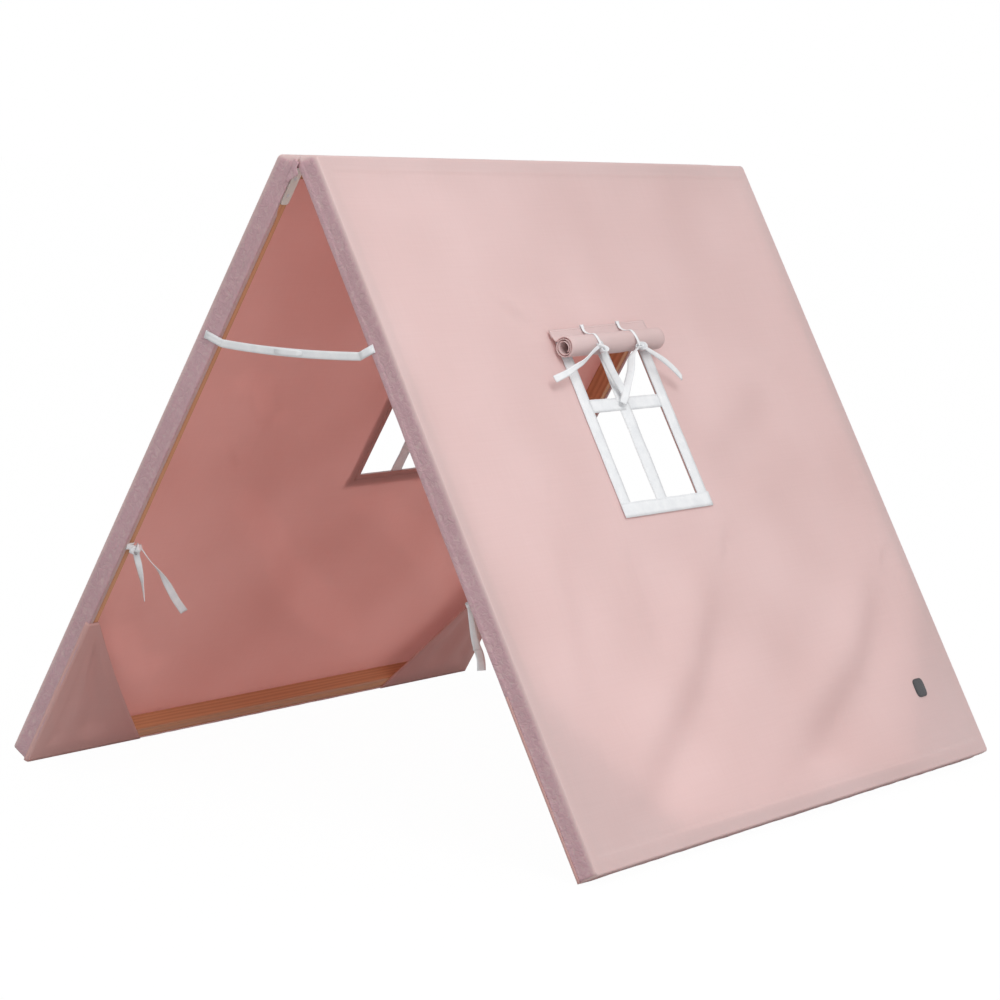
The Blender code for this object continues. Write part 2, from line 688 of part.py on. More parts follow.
def leaf_mesh(end, own):
    """Hinge leaf on the inner face of a stile, with its knuckles and countersunk holes."""
    middle = end * (HALF_RIDGE - BATTEN_FACE / 2)
    outline = [(middle + y, z) for y, z in leaf_outline(own)]
    plate = plate_mesh(outline, LEAF_HALF_GAP, LEAF_HALF_GAP + LEAF_THICKNESS)
    bore = PIN_RADIUS + CLEAR
    turn = Matrix.Rotation(-math.pi / 2, 4, "X")
    knuckles = []
    for index in own:
        low, high = knuckle_span(index)
        ring = (
            (bore, low), (KNUCKLE_RADIUS, low), (KNUCKLE_RADIUS, high), (bore, high), (bore, low),
        )
        knuckles.append(turned_mesh(ring, ROUND_STEPS, Matrix.Translation((0, middle, 0)) @ turn))
    leaf = combined(plate, knuckles, "UNION")
    holes = [screw_mesh(end, down, SCREW_FIT) for down in SCREW_DEPTHS]
    return combined(leaf, holes, "DIFFERENCE")


def pin_mesh(end):
    """Hinge pin through the knuckles, peened over at both ends."""
    middle = end * (HALF_RIDGE - BATTEN_FACE / 2)
    turn = Matrix.Rotation(-math.pi / 2, 4, "X")
    seat = LEAF_WIDTH / 2 + CLEAR
    profile = [(0.0, -seat - PIN_HEAD), (PIN_HEAD_RADIUS * 0.6, -seat - PIN_HEAD)]
    profile += [(PIN_HEAD_RADIUS, -seat - PIN_HEAD * 0.5), (PIN_HEAD_RADIUS, -seat), (PIN_RADIUS, -seat)]
    profile += [(radius, -height) for radius, height in reversed(profile)]
    return turned_mesh(profile, SMALL_STEPS, Matrix.Translation((0, middle, 0)) @ turn)


def patch_mesh():
    """Small plain patch with rounded corners, sewn near the foot of one cover."""
    half = PATCH_SIZE / 2 - PATCH_CORNER
    outline = []
    for quarter, (y_sign, z_sign) in enumerate(((1, 1), (-1, 1), (-1, -1), (1, -1))):
        for step in range(4):
            angle = math.radians(90 * quarter + 30 * step)
            outline.append((
                PATCH_PLACE[0] + y_sign * half + PATCH_CORNER * math.cos(angle),
                -PATCH_PLACE[1] + z_sign * half + PATCH_CORNER * math.sin(angle),
            ))
    return plate_mesh(outline, TRIM_IN, TRIM_OUT)


def panel_point(side, out, up):
    """World X and Z of a point on a panel."""
    x = out * math.cos(LEAN) - up * math.sin(LEAN)
    return side * x, PIVOT_HEIGHT + out * math.sin(LEAN) + up * math.cos(LEAN)


def strap_mesh(end):
    """Tape across an open end, sewn to both covers, that stops the tent from spreading."""
    along = end * (COVER_END + CLEAR + TAPE / 2)
    strip_middle = (WOOD_IN + SHEET_OUT) / 2
    knots = []
    for side in (-1, 1):
        outer = panel_point(side, strip_middle, -STRAP_DOWN)
        edge = panel_point(side, POCKET_IN, -STRAP_DOWN - STRAP_SAG / 4)
        knee = (edge[0] * 0.86, edge[1] - STRAP_SAG * 0.35)
        knots.append([(outer[0], along, outer[1]), (edge[0], along, edge[1]), (knee[0], along, knee[1])])
    low = (0.0, along, knots[0][2][2] - STRAP_SAG * 0.5)
    route = smooth_route([*knots[0], low, *reversed(knots[1])], 3)
    return tape_mesh(route, STRAP_WIDTH, TAPE, (0, 0, 1))


def panel_parts():
    """Every mesh but the covers by name, with its material; the same for both panels."""
    parts = {}
    for end in LOCAL_ENDS:
        parts["stile", end] = (stile_mesh(end), "pine")
        parts["pocket", end] = (pocket_mesh(end), "cotton")
        parts["stile_tie", end] = (stile_tie_mesh(end), "tape")
        along = WINDOW_CENTRE + FLAP_TIE_SHIFT + end * FLAP_TIE_SPACING / 2
        parts["flap_tie", end] = (flap_tie_mesh(along, end), "tape")
        for level, down in zip(("top", "bottom"), RAIL_DEPTHS):
            parts[f"{level}_bolt", end] = (bolt_mesh(end, down), "steel")
            parts[f"{level}_nut", end] = (nut_mesh(end, down), "steel")
    for level, down in zip(("top", "bottom"), RAIL_DEPTHS):
        parts[f"{level}_rail", 0] = (rail_mesh(down), "pine")
    parts["window_trim", 0] = (trim_mesh(), "tape")
    parts["window_flap", 0] = (flap_mesh(), "cotton")
    return parts


def end_word(side, end):
    """Front or back, in the tent, of one end of a panel."""
    return "front" if SIDES[side] * end < 0 else "back"


def build_panels(materials, empties):
    """Both panels from the same meshes, the left one turned half round."""
    parts = panel_parts()
    for side, empty in empties.items():
        shift = WINDOW_SHIFTS[side]
        for (kind, end), (mesh, material) in parts.items():
            name = f"{side}_{kind}" if end == 0 else f"{side}_{end_word(side, end)}_{kind}"
            piece = place(name, mesh, materials[material], empty)
            if kind in WINDOW_KINDS:
                piece.location = (0, *shift)
        add_cover(f"{side}_cover", cover_mesh(shift), materials["cotton"], empty)


def build_hinges(materials, empties):
    """A strap hinge at each end of the ridge, with its pin and four screws."""
    own_knuckles = {"right": (0, 2), "left": (1,)}
    for side, empty in empties.items():
        for end in LOCAL_ENDS:
            hinge = f"{end_word(side, end)}_hinge"
            place(f"{hinge}_{side}_leaf", leaf_mesh(end, own_knuckles[side]), materials["zinc"], empty)
            for level, down in zip(("upper", "lower"), SCREW_DEPTHS):
                name = f"{hinge}_{side}_{level}_screw"
                place(name, screw_mesh(end, down), materials["steel"], empty)
            if side == "right":
                place(f"{hinge}_pin", pin_mesh(end), materials["steel"], empty)


def build_straps(materials):
    """The two end straps, in the tent's own axes."""
    for end, word in zip(LOCAL_ENDS, ("front", "back")):
        place(f"{word}_strap", strap_mesh(end), materials["tape"], None)


def main():
    clear_scene()
    materials = {
        "cotton": make_material("cotton_canvas", (0.72, 0.50, 0.48), 0.92),
        "tape": make_material("white_cotton_tape", (0.74, 0.76, 0.79), 0.90),
        "pine": make_material("oiled_pine", (0.52, 0.29, 0.14), 0.55),
        "zinc": make_material("zinc_plate", (0.70, 0.70, 0.68), 0.38, 1.0),
        "steel": make_material("plated_steel", (0.60, 0.60, 0.60), 0.32, 1.0),
        "patch": make_material("charcoal_felt", (0.025, 0.025, 0.028), 0.85),
    }
    empties = {}
    for side, sign in SIDES.items():
        empty = bpy.data.objects.new(f"{side}_panel_axis", None)
        bpy.context.scene.collection.objects.link(empty)
        empty.location = (0, 0, PIVOT_HEIGHT)
        empty.rotation_euler = (0, -LEAN, 0 if sign > 0 else math.pi)
        empties[side] = empty
    build_panels(materials, empties)
    build_hinges(materials, empties)
    build_straps(materials)
    place("right_patch", patch_mesh(), materials["patch"], empties["right"])


main()
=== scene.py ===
"""Looks of a folding play tent: cotton canvas, cotton tape, oiled pine and plated steel."""

import json
import math

import bmesh
import bpy
from mathutils import Matrix, Vector, noise


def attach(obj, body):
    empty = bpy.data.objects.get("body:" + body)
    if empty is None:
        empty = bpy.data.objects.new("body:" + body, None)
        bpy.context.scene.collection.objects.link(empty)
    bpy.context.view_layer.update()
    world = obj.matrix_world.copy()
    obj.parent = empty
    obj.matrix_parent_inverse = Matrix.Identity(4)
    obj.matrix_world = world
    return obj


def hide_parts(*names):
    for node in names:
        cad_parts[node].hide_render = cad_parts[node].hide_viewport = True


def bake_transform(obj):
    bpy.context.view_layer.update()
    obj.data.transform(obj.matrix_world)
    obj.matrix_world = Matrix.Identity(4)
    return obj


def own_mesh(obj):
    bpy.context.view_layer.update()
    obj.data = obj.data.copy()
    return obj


bl_info = {
    "name": "Play Tent Looks",
    "version": (1, 0, 0),
    "blender": (4, 5, 0),
    "location": "View3D > Sidebar > Play Tent",
    "description": "Dress the packed play tent in cloth, tape, wood and metal",
    "category": "Add Mesh",
}

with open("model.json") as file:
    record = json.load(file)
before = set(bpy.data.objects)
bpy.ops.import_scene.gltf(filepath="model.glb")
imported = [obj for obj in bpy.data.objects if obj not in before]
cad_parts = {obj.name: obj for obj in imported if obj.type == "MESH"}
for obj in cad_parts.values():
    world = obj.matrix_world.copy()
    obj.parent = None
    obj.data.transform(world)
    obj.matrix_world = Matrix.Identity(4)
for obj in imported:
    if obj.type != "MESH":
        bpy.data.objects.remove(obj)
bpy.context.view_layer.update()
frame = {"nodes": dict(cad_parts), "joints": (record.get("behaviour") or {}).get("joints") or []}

# Each panel is dressed in its own axes: X out through the panel, Y along the ridge, Z up the
# slope, with the origin on the hinge pin. The left panel is the right one turned half round.
SIDES = ("right", "left")
ENDS = (-1, 1)
PANEL_ENDS = [(side, end) for side in SIDES for end in ENDS]
# The gap left between pieces that lie on each other
AIR = 0.0003


def panel_lean():
    """How far a panel leans from upright, read from the widest face of its window tape."""
    faces = frame["nodes"]["right_window_trim"].data.polygons
    normal = max(faces, key=lambda face: face.area).normal
    return math.atan2(abs(normal.z), abs(normal.x))


LEAN = panel_lean()
PIVOT = Vector(frame["joints"][0]["pos_m"])


def panel_matrix(side):
    """The axes of a panel, in the tent."""
    turn = 0.0 if side == "right" else math.pi
    return Matrix.Translation(PIVOT) @ Matrix.Rotation(turn, 4, "Z") @ Matrix.Rotation(-LEAN, 4, "Y")


def end_word(side, end):
    """Front or back, in the tent, of one end of a panel."""
    return "front" if (end < 0) == (side == "right") else "back"


def panel_points(node, side="right"):
    """The points of a CAD node, in its panel's axes."""
    back = panel_matrix(side).inverted()
    return [back @ vert.co for vert in frame["nodes"][node].data.vertices]


def panel_box(node, side="right"):
    """The lowest and highest corners of a CAD node, in its panel's axes."""
    points = panel_points(node, side)
    low = Vector([min(point[axis] for point in points) for axis in range(3)])
    high = Vector([max(point[axis] for point in points) for axis in range(3)])
    return low, high


def distinct(values):
    """Sorted values, with those closer than the air gap taken as one."""
    found = []
    for value in sorted(values):
        if not found or value - found[-1] > AIR:
            found.append(value)
    return found


# Sizes of the CAD parts that the cloth is fitted to
COVER_LOW, COVER_HIGH = panel_box("right_cover")
STILE_LOW, STILE_HIGH = panel_box("right_back_stile")
TRIM_LOW, _ = panel_box("right_window_trim")
LEAF_LOW, _ = panel_box("front_hinge_right_leaf")
POCKET_LOW, POCKET_HIGH = panel_box("right_back_pocket")
PATCH_LOW, PATCH_HIGH = panel_box("right_patch")
_, TIE_HIGH = panel_box("right_back_stile_tie")
COVER_END = COVER_HIGH.y
COVER_TOP = COVER_HIGH.z
COVER_FOOT = COVER_LOW.z
BATTEN = STILE_HIGH.y - STILE_LOW.y
WOOD_IN = STILE_LOW.x
WOOD_OUT = STILE_HIGH.x
SHEET_OUT = TRIM_LOW.x - AIR
TIE_WIDTH = 0.012
# Shares of a tape's width at which its mesh has a point
TAPE_SHARES = (-0.5, -0.25, 0.0, 0.25, 0.5)


class Window:
    """The tapes, the opening and the flap of one panel, measured on its CAD parts."""

    def __init__(self, side):
        """Read the lines of the tapes and the box of the flap."""
        tapes = panel_points(f"{side}_window_trim", side)
        self.tape_ys = distinct(point.y for point in tapes)
        self.tape_zs = distinct(point.z for point in tapes)
        self.ys = (self.tape_ys[1], self.tape_ys[4])
        self.zs = (self.tape_zs[1], self.tape_zs[4])
        self.flap_low, self.flap_high = panel_box(f"{side}_window_flap", side)


WINDOWS = {side: Window(side) for side in SIDES}

# The line between the crest and the valley of each fold: points (along, up), half width, height
RIGHT_FOLDS = (
    (((0.021, -0.740), (-0.166, -0.918), (-0.470, -1.105)), 0.042, 0.0080),
    (((0.500, -0.800), (0.306, -0.957), (-0.030, -1.100)), 0.042, 0.0085),
    (((0.400, -0.430), (0.089, -0.568)), 0.040, 0.0030),
    (((-0.370, -0.620), (-0.470, -0.960)), 0.035, 0.0030),
    (((-0.215, -0.650), (-0.250, -0.900)), 0.020, 0.0012),
    (((-0.195, -0.318), (-0.300, -0.245)), 0.012, 0.0016),
)
LEFT_FOLDS = (
    (((0.340, -0.620), (0.080, -0.860), (-0.240, -1.080)), 0.045, 0.0075),
    (((-0.120, -0.720), (-0.380, -0.900), (-0.520, -1.050)), 0.042, 0.0070),
    (((0.450, -0.380), (0.290, -0.560)), 0.040, 0.0035),
    (((-0.330, -0.330), (-0.460, -0.620)), 0.038, 0.0030),
    (((0.500, -0.900), (0.330, -1.070)), 0.036, 0.0050),
)
FOLDS = {"right": RIGHT_FOLDS, "left": LEFT_FOLDS}
# The folds fade out over these distances, and keep this share of their height at the patch
WINDOW_FADE = 0.060
EDGE_FADE = 0.060
PATCH_CALM = 0.3

# Flap ties on the right panel: points (out, along, up), as they lie in the photograph
TIE_BANDS = {
    -1: (
        (0.0450, -0.1105, -0.3160), (0.0458, -0.1105, -0.3105), (0.0478, -0.1110, -0.3080),
        (0.0484, -0.1120, -0.3125), (0.0492, -0.1130, -0.3185), (0.0536, -0.1145, -0.3245),
        (0.0600, -0.1165, -0.3290), (0.0700, -0.1205, -0.3338), (0.0764, -0.1250, -0.3430),
        (0.0782, -0.1262, -0.3540), (0.0768, -0.1262, -0.3600),
    ),
    1: (
        (0.0450, -0.0075, -0.3135), (0.0458, -0.0075, -0.3075), (0.0478, -0.0080, -0.3050),
        (0.0484, -0.0088, -0.3095), (0.0492, -0.0095, -0.3160), (0.0540, -0.0108, -0.3222),
        (0.0607, -0.0120, -0.3268), (0.0715, -0.0155, -0.3318), (0.0778, -0.0195, -0.3425),
        (0.0795, -0.0200, -0.3545), (0.0780, -0.0195, -0.3620),
    ),
}
TIE_TAILS = {
    -1: (
        (
            (0.0790, -0.1300, -0.3590), (0.0790, -0.1500, -0.3655), (0.0745, -0.1810, -0.3810),
            (0.0690, -0.2025, -0.3880), (0.0630, -0.2240, -0.3950), (0.0570, -0.2540, -0.4015),
        ),
        (
            (0.0780, -0.1240, -0.3610), (0.0740, -0.1200, -0.3690), (0.0640, -0.1050, -0.3870),
            (0.0570, -0.0900, -0.4060), (0.0520, -0.0770, -0.4265), (0.0490, -0.0715, -0.4460),
        ),
    ),
    1: (
        (
            (0.0800, -0.0170, -0.3640), (0.0790, 0.0080, -0.3765), (0.0745, 0.0400, -0.3905),
            (0.0685, 0.0680, -0.4050), (0.0620, 0.0906, -0.4182),
        ),
        (
            (0.0780, -0.0260, -0.3650), (0.0750, -0.0480, -0.3790), (0.0670, -0.0530, -0.3985),
            (0.0600, -0.0670, -0.4200), (0.0540, -0.0770, -0.4370), (0.0500, -0.0870, -0.4500),
        ),
    ),
}
# The way across each tail's width, along its length
TAIL_TURNS = {
    -1: (
        ((0.2, 0, 1), (0.9, 0.1, 1), (0.3, 0.1, 1), (0.0, 0.1, 1)),
        ((0.1, 1, -0.3), (0.0, 1, -0.4), (0.3, 1, -0.4), (-0.1, 1, -0.2)),
    ),
    1: (
        ((0.3, 0, 1), (0.8, 0.1, 1), (0.4, 0.2, 1), (0.1, 0.2, 1)),
        ((0.9, 0.4, 0.2), (1, 0.5, 0), (0.8, 0.7, 0), (0.3, 1, 0.2)),
    ),
}
# Widths of a band and of its two tails, along their lengths
FLAP_BAND_WIDTHS = (0.0100, 0.0086, 0.0064, 0.0058, 0.0060, 0.0066)
FLAP_TAIL_WIDTHS = ((0.0055, 0.0070, 0.0090, 0.0105, 0.0120), (0.0080, 0.0125, 0.0130, 0.0130, 0.0130))

# Batten ties: points (out, along from the middle, up) of their two tails
BATTEN_TAILS = {
    "left_front": (
        (
            (-0.0060, 0.5749, -0.7135), (-0.0140, 0.5719, -0.7158), (-0.0280, 0.5626, -0.7268),
            (-0.0440, 0.5437, -0.7423), (-0.0580, 0.5287, -0.7604), (-0.0710, 0.5112, -0.7813),
            (-0.0840, 0.4933, -0.7993),
        ),
        (
            (-0.0070, 0.5775, -0.7225), (-0.0110, 0.5750, -0.7310), (-0.0200, 0.5722, -0.7422),
            (-0.0310, 0.5649, -0.7630), (-0.0410, 0.5625, -0.7777), (-0.0510, 0.5610, -0.7924),
        ),
    ),
    "right_front": (
        (
            (-0.0080, 0.5872, -0.7176), (-0.0170, 0.5820, -0.7372), (-0.0320, 0.5746, -0.7704),
            (-0.0450, 0.5607, -0.7949), (-0.0520, 0.5607, -0.8131),
        ),
        (
            (-0.0060, 0.5800, -0.7200), (-0.0150, 0.5770, -0.7360), (-0.0290, 0.5720, -0.7620),
            (-0.0400, 0.5690, -0.7840),
        ),
    ),
    "back": (
        (
            (-0.0070, 0.5760, -0.7180), (-0.0200, 0.5720, -0.7420), (-0.0400, 0.5640, -0.7780),
            (-0.0560, 0.5600, -0.8100), (-0.0620, 0.5580, -0.8230),
        ),
        (
            (-0.0080, 0.5780, -0.7230), (-0.0190, 0.5790, -0.7450), (-0.0330, 0.5770, -0.7720),
            (-0.0430, 0.5760, -0.7930),
        ),
    ),
}
BATTEN_TURNS = {
    "left_front": (
        (
            (0.7, -0.45, -0.06), (0.7, -0.45, -0.06), (0.6, -0.1, -0.3), (0.25, 0.47, -0.65),
            (0.25, 0.47, -0.65),
        ),
        ((0.58, 0.59, -0.52), (0.58, 0.4, -0.5), (0.6, -0.3, -0.3), (0.6, -0.6, -0.25)),
    ),
    "right_front": (
        (
            (0.4, -0.9, 0.1), (0.75, -0.59, -0.18), (0.75, -0.59, -0.18), (0.5, -0.7, 0.0),
            (0.75, -0.59, -0.18),
        ),
        ((0.6, -0.7, -0.1), (0.6, -0.7, -0.1)),
    ),
    "back": (
        ((0.9, 0.4, 0), (0.3, 1, 0), (-0.2, 1, 0), (0.2, 1, 0.2)),
        ((1, 0.4, 0), (0.8, 0.8, 0), (0.4, 1, 0)),
    ),
}
BATTEN_TAIL_WIDTHS = ((0.0060, 0.0095, 0.0125, 0.0130), (0.0105, 0.0110, 0.0110))


def linear(text):
    """A linear colour with alpha, from an sRGB hex value."""
    shares = [int(text[start:start + 2], 16) / 255 for start in (1, 3, 5)]
    parts = [share / 12.92 if share <= 0.04045 else ((share + 0.055) / 1.055) ** 2.4 for share in shares]
    return (*parts, 1.0)


def shaded(colour, share):
    """A colour made darker, or paler with a share over 1."""
    return (*(part * share for part in colour[:3]), 1.0)


def length_setting(name, description, default, low):
    """A length that a user can change."""
    return bpy.props.FloatProperty(
        name=name, description=description, default=default, min=low, unit="LENGTH",
    )


def share_setting(name, description, default, high):
    """A share that a user can change."""
    return bpy.props.FloatProperty(
        name=name, description=description, default=default, min=0.0, max=high, subtype="FACTOR",
    )


def colour_setting(name, description, hex_colour):
    """A colour that a user can change."""
    return bpy.props.FloatVectorProperty(
        name=name, description=description, default=linear(hex_colour),
        size=4, subtype="COLOR", min=0.0, max=1.0,
    )


class TentSizes(bpy.types.PropertyGroup):
    """Sizes of the cloth work."""
    cloth_step: length_setting("Cloth Step", "Spacing of the cover's mesh", 0.008, 0.004)
    cloth_thickness: length_setting("Cloth Thickness", "Thickness of the canvas", 0.0012, 0.0004)
    tape_thickness: length_setting("Tape Thickness", "Thickness of the cotton tape", 0.0009, 0.0003)
    edge_round: length_setting("Edge Round", "Radius of the cloth over the edges of the frame", 0.0022, 0.001)
    corner_round: length_setting("Corner Round", "Radius of the cover's corners", 0.0042, 0.001)
    sag: length_setting("Sag", "How far the sheet sinks between the battens", 0.0030, 0.0)
    fold_share: share_setting("Fold Share", "Strength of the folds in the sheets", 1.4, 2.0)
    hem: length_setting("Hem", "Width of the turned hems", 0.010, 0.004)
    wrap: length_setting("Wrap", "How far the cover turns onto the battens' inner faces", 0.0062, 0.001)
    ridge_gap: length_setting("Ridge Gap", "Half of the slit where the two covers meet", 0.0008, 0.0003)
    ridge_rise: share_setting("Ridge Rise", "Rise of a cover's top from its crest to the ridge", 0.434, 0.6)
    stitch_pitch: length_setting("Stitch Pitch", "Distance from stitch to stitch", 0.0034, 0.002)
    stitch_length: length_setting("Stitch Length", "Length of thread that shows in a stitch", 0.0025, 0.001)
    thread_radius: length_setting("Thread Radius", "Radius of the sewing thread", 0.00032, 0.0001)
    roll_pitch: length_setting("Roll Pitch", "Distance from turn to turn of a rolled flap", 0.0036, 0.002)
    roll_core: length_setting("Roll Core", "Radius of the open middle of a rolled flap", 0.0085, 0.001)
    roll_radius: length_setting("Roll Radius", "Radius of a rolled flap at its tighter end", 0.0176, 0.01)
    roll_swell: length_setting("Roll Swell", "How much wider a rolled flap is at its looser end", 0.0014, 0.0)
    roll_drop: length_setting("Roll Drop", "How far a rolled flap hangs below the window's top", 0.0118, 0.0)


class TentColours(bpy.types.PropertyGroup):
    """Colours of the finishes."""
    canvas: colour_setting("Canvas", "Dyed cotton canvas", "#F2DFDE")
    canvas_thread: colour_setting("Canvas Thread", "Darker threads of the canvas", "#EAD4D2")
    # Painted light: a pinker copy of the canvas for the inside of the tent, standing for light that comes
    # through the cloth and bounces inside
    reverse: colour_setting("Canvas Reverse", "Deeper shade of the canvas inside the tent", "#F8CBC4")
    reverse_thread: colour_setting("Reverse Thread", "Darker threads inside the tent", "#F0BEB6")
    # Painted shade: a deeper, pinker copy of the canvas for the pockets, standing for the dim light inside
    # the tent
    pocket: colour_setting("Pocket", "Canvas of the corner pockets", "#E8C0BB")
    pocket_thread: colour_setting("Pocket Thread", "Darker threads of the pockets", "#DFB1AB")
    tape: colour_setting("Tape", "White cotton tape", "#F1F2F3")
    tape_shade: colour_setting("Tape Shade", "Shade between the ribs of the tape", "#E0E2E5")
    pine: colour_setting("Pine", "Pale early wood", "#D19B73")
    pine_grain: colour_setting("Pine Grain", "Dark late wood", "#BD845E")
    zinc: colour_setting("Zinc", "Zinc plate of the hinge leaves", "#D4D2CC")
    steel: colour_setting("Steel", "Bright plating of the fixings", "#C4C4C6")
    felt: colour_setting("Felt", "Charcoal wool felt", "#2E2D30")
    floor: colour_setting("Floor", "Pale studio floor", "#CDCDCD")


def add_node(tree, kind, settings=None, links=None):
    """Add a node, set its options and sockets, and link it from other nodes' first or named outputs."""
    node = tree.nodes.new(f"ShaderNode{kind}")
    for key, value in (settings or {}).items():
        if isinstance(key, int) or key in node.inputs:
            node.inputs[key].default_value = value
        else:
            setattr(node, key, value)
    for key, source in (links or {}).items():
        source, output = source if isinstance(source, tuple) else (source, 0)
        tree.links.new(source.outputs[output], node.inputs[key])
    return node


# Sockets of a Mix node that mixes colours
MIX_FROM, MIX_TO, MIXED = 6, 7, 2


def new_material(name):
    """An empty node material."""
    material = bpy.data.materials.new(name)
    material.use_nodes = True
    material.node_tree.nodes.clear()
    return material, material.node_tree


def wave_scale(pitch):
    """The Wave Texture's scale that gives one wave in each pitch, in metres."""
    return math.tau / 20 / pitch


def woven_canvas(name, base, thread, through):
    """Dyed cotton canvas, plain woven and washed: matt, with a soft nap, fine slubs and faint shade bands,
    and painted shade where tape is sewn behind it and where it is crumpled.
    """
    material, tree = new_material(name)
    cloth = add_node(tree, "UVMap", {"uv_map": "cloth"})
    # Threads are 0.5 mm apart on the real canvas: drawn 1.6 mm apart, so that they can show
    warp, weft = (
        add_node(tree, "TexWave", {
            "bands_direction": way, "Scale": wave_scale(0.0016), "Distortion": 0.6,
            "Detail": 1.0, "Detail Scale": 0.4,
        }, {"Vector": cloth})
        for way in "XY"
    )
    weave = add_node(tree, "Math", {"operation": "MULTIPLY"}, {0: (warp, "Fac"), 1: (weft, "Fac")})
    # Slubs are thick lengths of thread, 3 mm apart and 100 mm long
    thin, long = 1 / 0.003, 1 / 0.100
    lengthways, crossways = (
        add_node(tree, "TexNoise", {"Scale": 1.0, "Detail": 2.0}, {
            "Vector": add_node(tree, "Mapping", {"Scale": scale}, {"Vector": cloth}),
        })
        for scale in ((thin, long, 1.0), (long, thin, 1.0))
    )
    slubs = add_node(tree, "Math", {"operation": "ADD"}, {0: lengthways, 1: crossways})
    # Dye takes unevenly over about 240 mm
    dye = add_node(tree, "TexNoise", {"Scale": 1 / 0.240, "Detail": 1.0, "Roughness": 0.4}, {"Vector": cloth})
    shade = add_node(tree, "Math", {"operation": "MULTIPLY_ADD", 1: 0.22}, {0: slubs, 2: dye})
    threads = add_node(tree, "Math", {"operation": "MULTIPLY_ADD", 1: -0.16}, {0: weave, 2: shade})
    share = add_node(tree, "MapRange", {"From Min": 0.40, "From Max": 1.00}, {"Value": threads})
    woven = add_node(tree, "Mix", {"data_type": "RGBA", MIX_FROM: base, MIX_TO: thread}, {0: share})
    # Painted shadow: where tape is sewn behind the cloth, it keeps out light that would shine through, so the
    # colour is darkened there
    backed = add_node(tree, "Attribute", {"attribute_name": "backed"})
    tape_shadow = add_node(tree, "Math", {"operation": "MULTIPLY", 1: 0.30}, {0: (backed, "Fac")})
    colour = add_node(tree, "Mix", {"data_type": "RGBA", MIX_TO: shaded(thread, 0.55)}, {
        0: tape_shadow, MIX_FROM: (woven, MIXED),
    })
    # Where the cloth is pulled round an edge it is crumpled, in wrinkles of about 9 mm, and has painted
    # shade: duskier and mauve in blotches of that size
    crumpled = add_node(tree, "Attribute", {"attribute_name": "crumpled"})
    folds = add_node(tree, "TexNoise", {
        "Scale": 1 / 0.009, "Detail": 3.0, "Roughness": 0.55, "Distortion": 1.2,
    }, {"Vector": cloth})
    tone = add_node(tree, "MapRange", {
        "clamp": False, "From Min": 0.30, "From Max": 0.70, "To Min": 0.40, "To Max": 1.45,
    }, {"Value": folds})
    painted_shade = add_node(tree, "Math", {"operation": "MULTIPLY", "use_clamp": True}, {
        0: tone, 1: (crumpled, "Fac"),
    })
    # Painted shade: the crumpled cloth's colour is multiplied toward a dusky mauve
    colour = add_node(tree, "Mix", {
        "data_type": "RGBA", "blend_type": "MULTIPLY", MIX_TO: (0.90, 0.77, 0.85, 1.0),
    }, {0: painted_shade, MIX_FROM: (colour, MIXED)})
    height = add_node(tree, "Math", {"operation": "MULTIPLY_ADD", 1: 0.4}, {0: slubs, 2: weave})
    bump = add_node(tree, "Bump", {"Strength": 0.12, "Distance": 0.0003}, {"Height": height})
    wrinkles = add_node(tree, "Math", {"operation": "MULTIPLY"}, {0: folds, 1: (crumpled, "Fac")})
    bump = add_node(tree, "Bump", {"Strength": 0.80, "Distance": 0.0035}, {
        "Height": wrinkles, "Normal": bump,
    })
    rough = add_node(tree, "MapRange", {"To Min": 0.96, "To Max": 0.86}, {"Value": weave})
    shader = add_node(tree, "BsdfPrincipled", {
        "IOR": 1.5, "Specular IOR Level": 0.25, "Sheen Weight": 0.12, "Sheen Roughness": 0.5,
    }, {"Base Color": (colour, MIXED), "Roughness": rough, "Normal": bump})
    # The thin cloth lets a share of the light through, so the inside of the tent is bright
    lit = add_node(tree, "BsdfTranslucent", None, {"Color": (colour, MIXED)})
    mix = add_node(tree, "MixShader", {"Fac": through}, {1: shader, 2: lit})
    add_node(tree, "OutputMaterial", None, {"Surface": mix})
    return material


def twill_tape():
    """White cotton tape, twill woven: matt, with fine slanting ribs and a soft handled shade."""
    material, tree = new_material("white_cotton_tape_twill_woven")
    colours = bpy.context.scene.tent_colours
    cloth = add_node(tree, "UVMap", {"uv_map": "cloth"})
    # Ribs are 0.8 mm apart on the real tape: drawn 1.4 mm apart, so that they can show
    turned = add_node(tree, "Mapping", {"Rotation": (0, 0, math.radians(52))}, {"Vector": cloth})
    ribs = add_node(tree, "TexWave", {
        "bands_direction": "X", "Scale": wave_scale(0.0014), "Distortion": 0.5, "Detail": 1.0,
    }, {"Vector": turned})
    # Handling shades it in patches of about 25 mm
    handled = add_node(tree, "TexNoise", {"Scale": 1 / 0.025, "Detail": 3.0, "Roughness": 0.6}, {
        "Vector": cloth,
    })
    shade = add_node(tree, "Math", {"operation": "MULTIPLY_ADD", 1: 0.35}, {0: (ribs, "Fac"), 2: handled})
    share = add_node(tree, "MapRange", {"From Min": 0.40, "From Max": 0.95}, {"Value": shade})
    colour = add_node(tree, "Mix", {
        "data_type": "RGBA", MIX_FROM: colours.tape_shade, MIX_TO: colours.tape,
    }, {0: share})
    bump = add_node(tree, "Bump", {"Strength": 0.4, "Distance": 0.0003}, {"Height": (ribs, "Fac")})
    rough = add_node(tree, "MapRange", {"To Min": 0.95, "To Max": 0.82}, {"Value": (ribs, "Fac")})
    shader = add_node(tree, "BsdfPrincipled", {
        "IOR": 1.5, "Specular IOR Level": 0.25, "Sheen Weight": 0.10, "Sheen Roughness": 0.5,
    }, {"Base Color": (colour, MIXED), "Roughness": rough, "Normal": bump})
    add_node(tree, "OutputMaterial", None, {"Surface": shader})
    return material


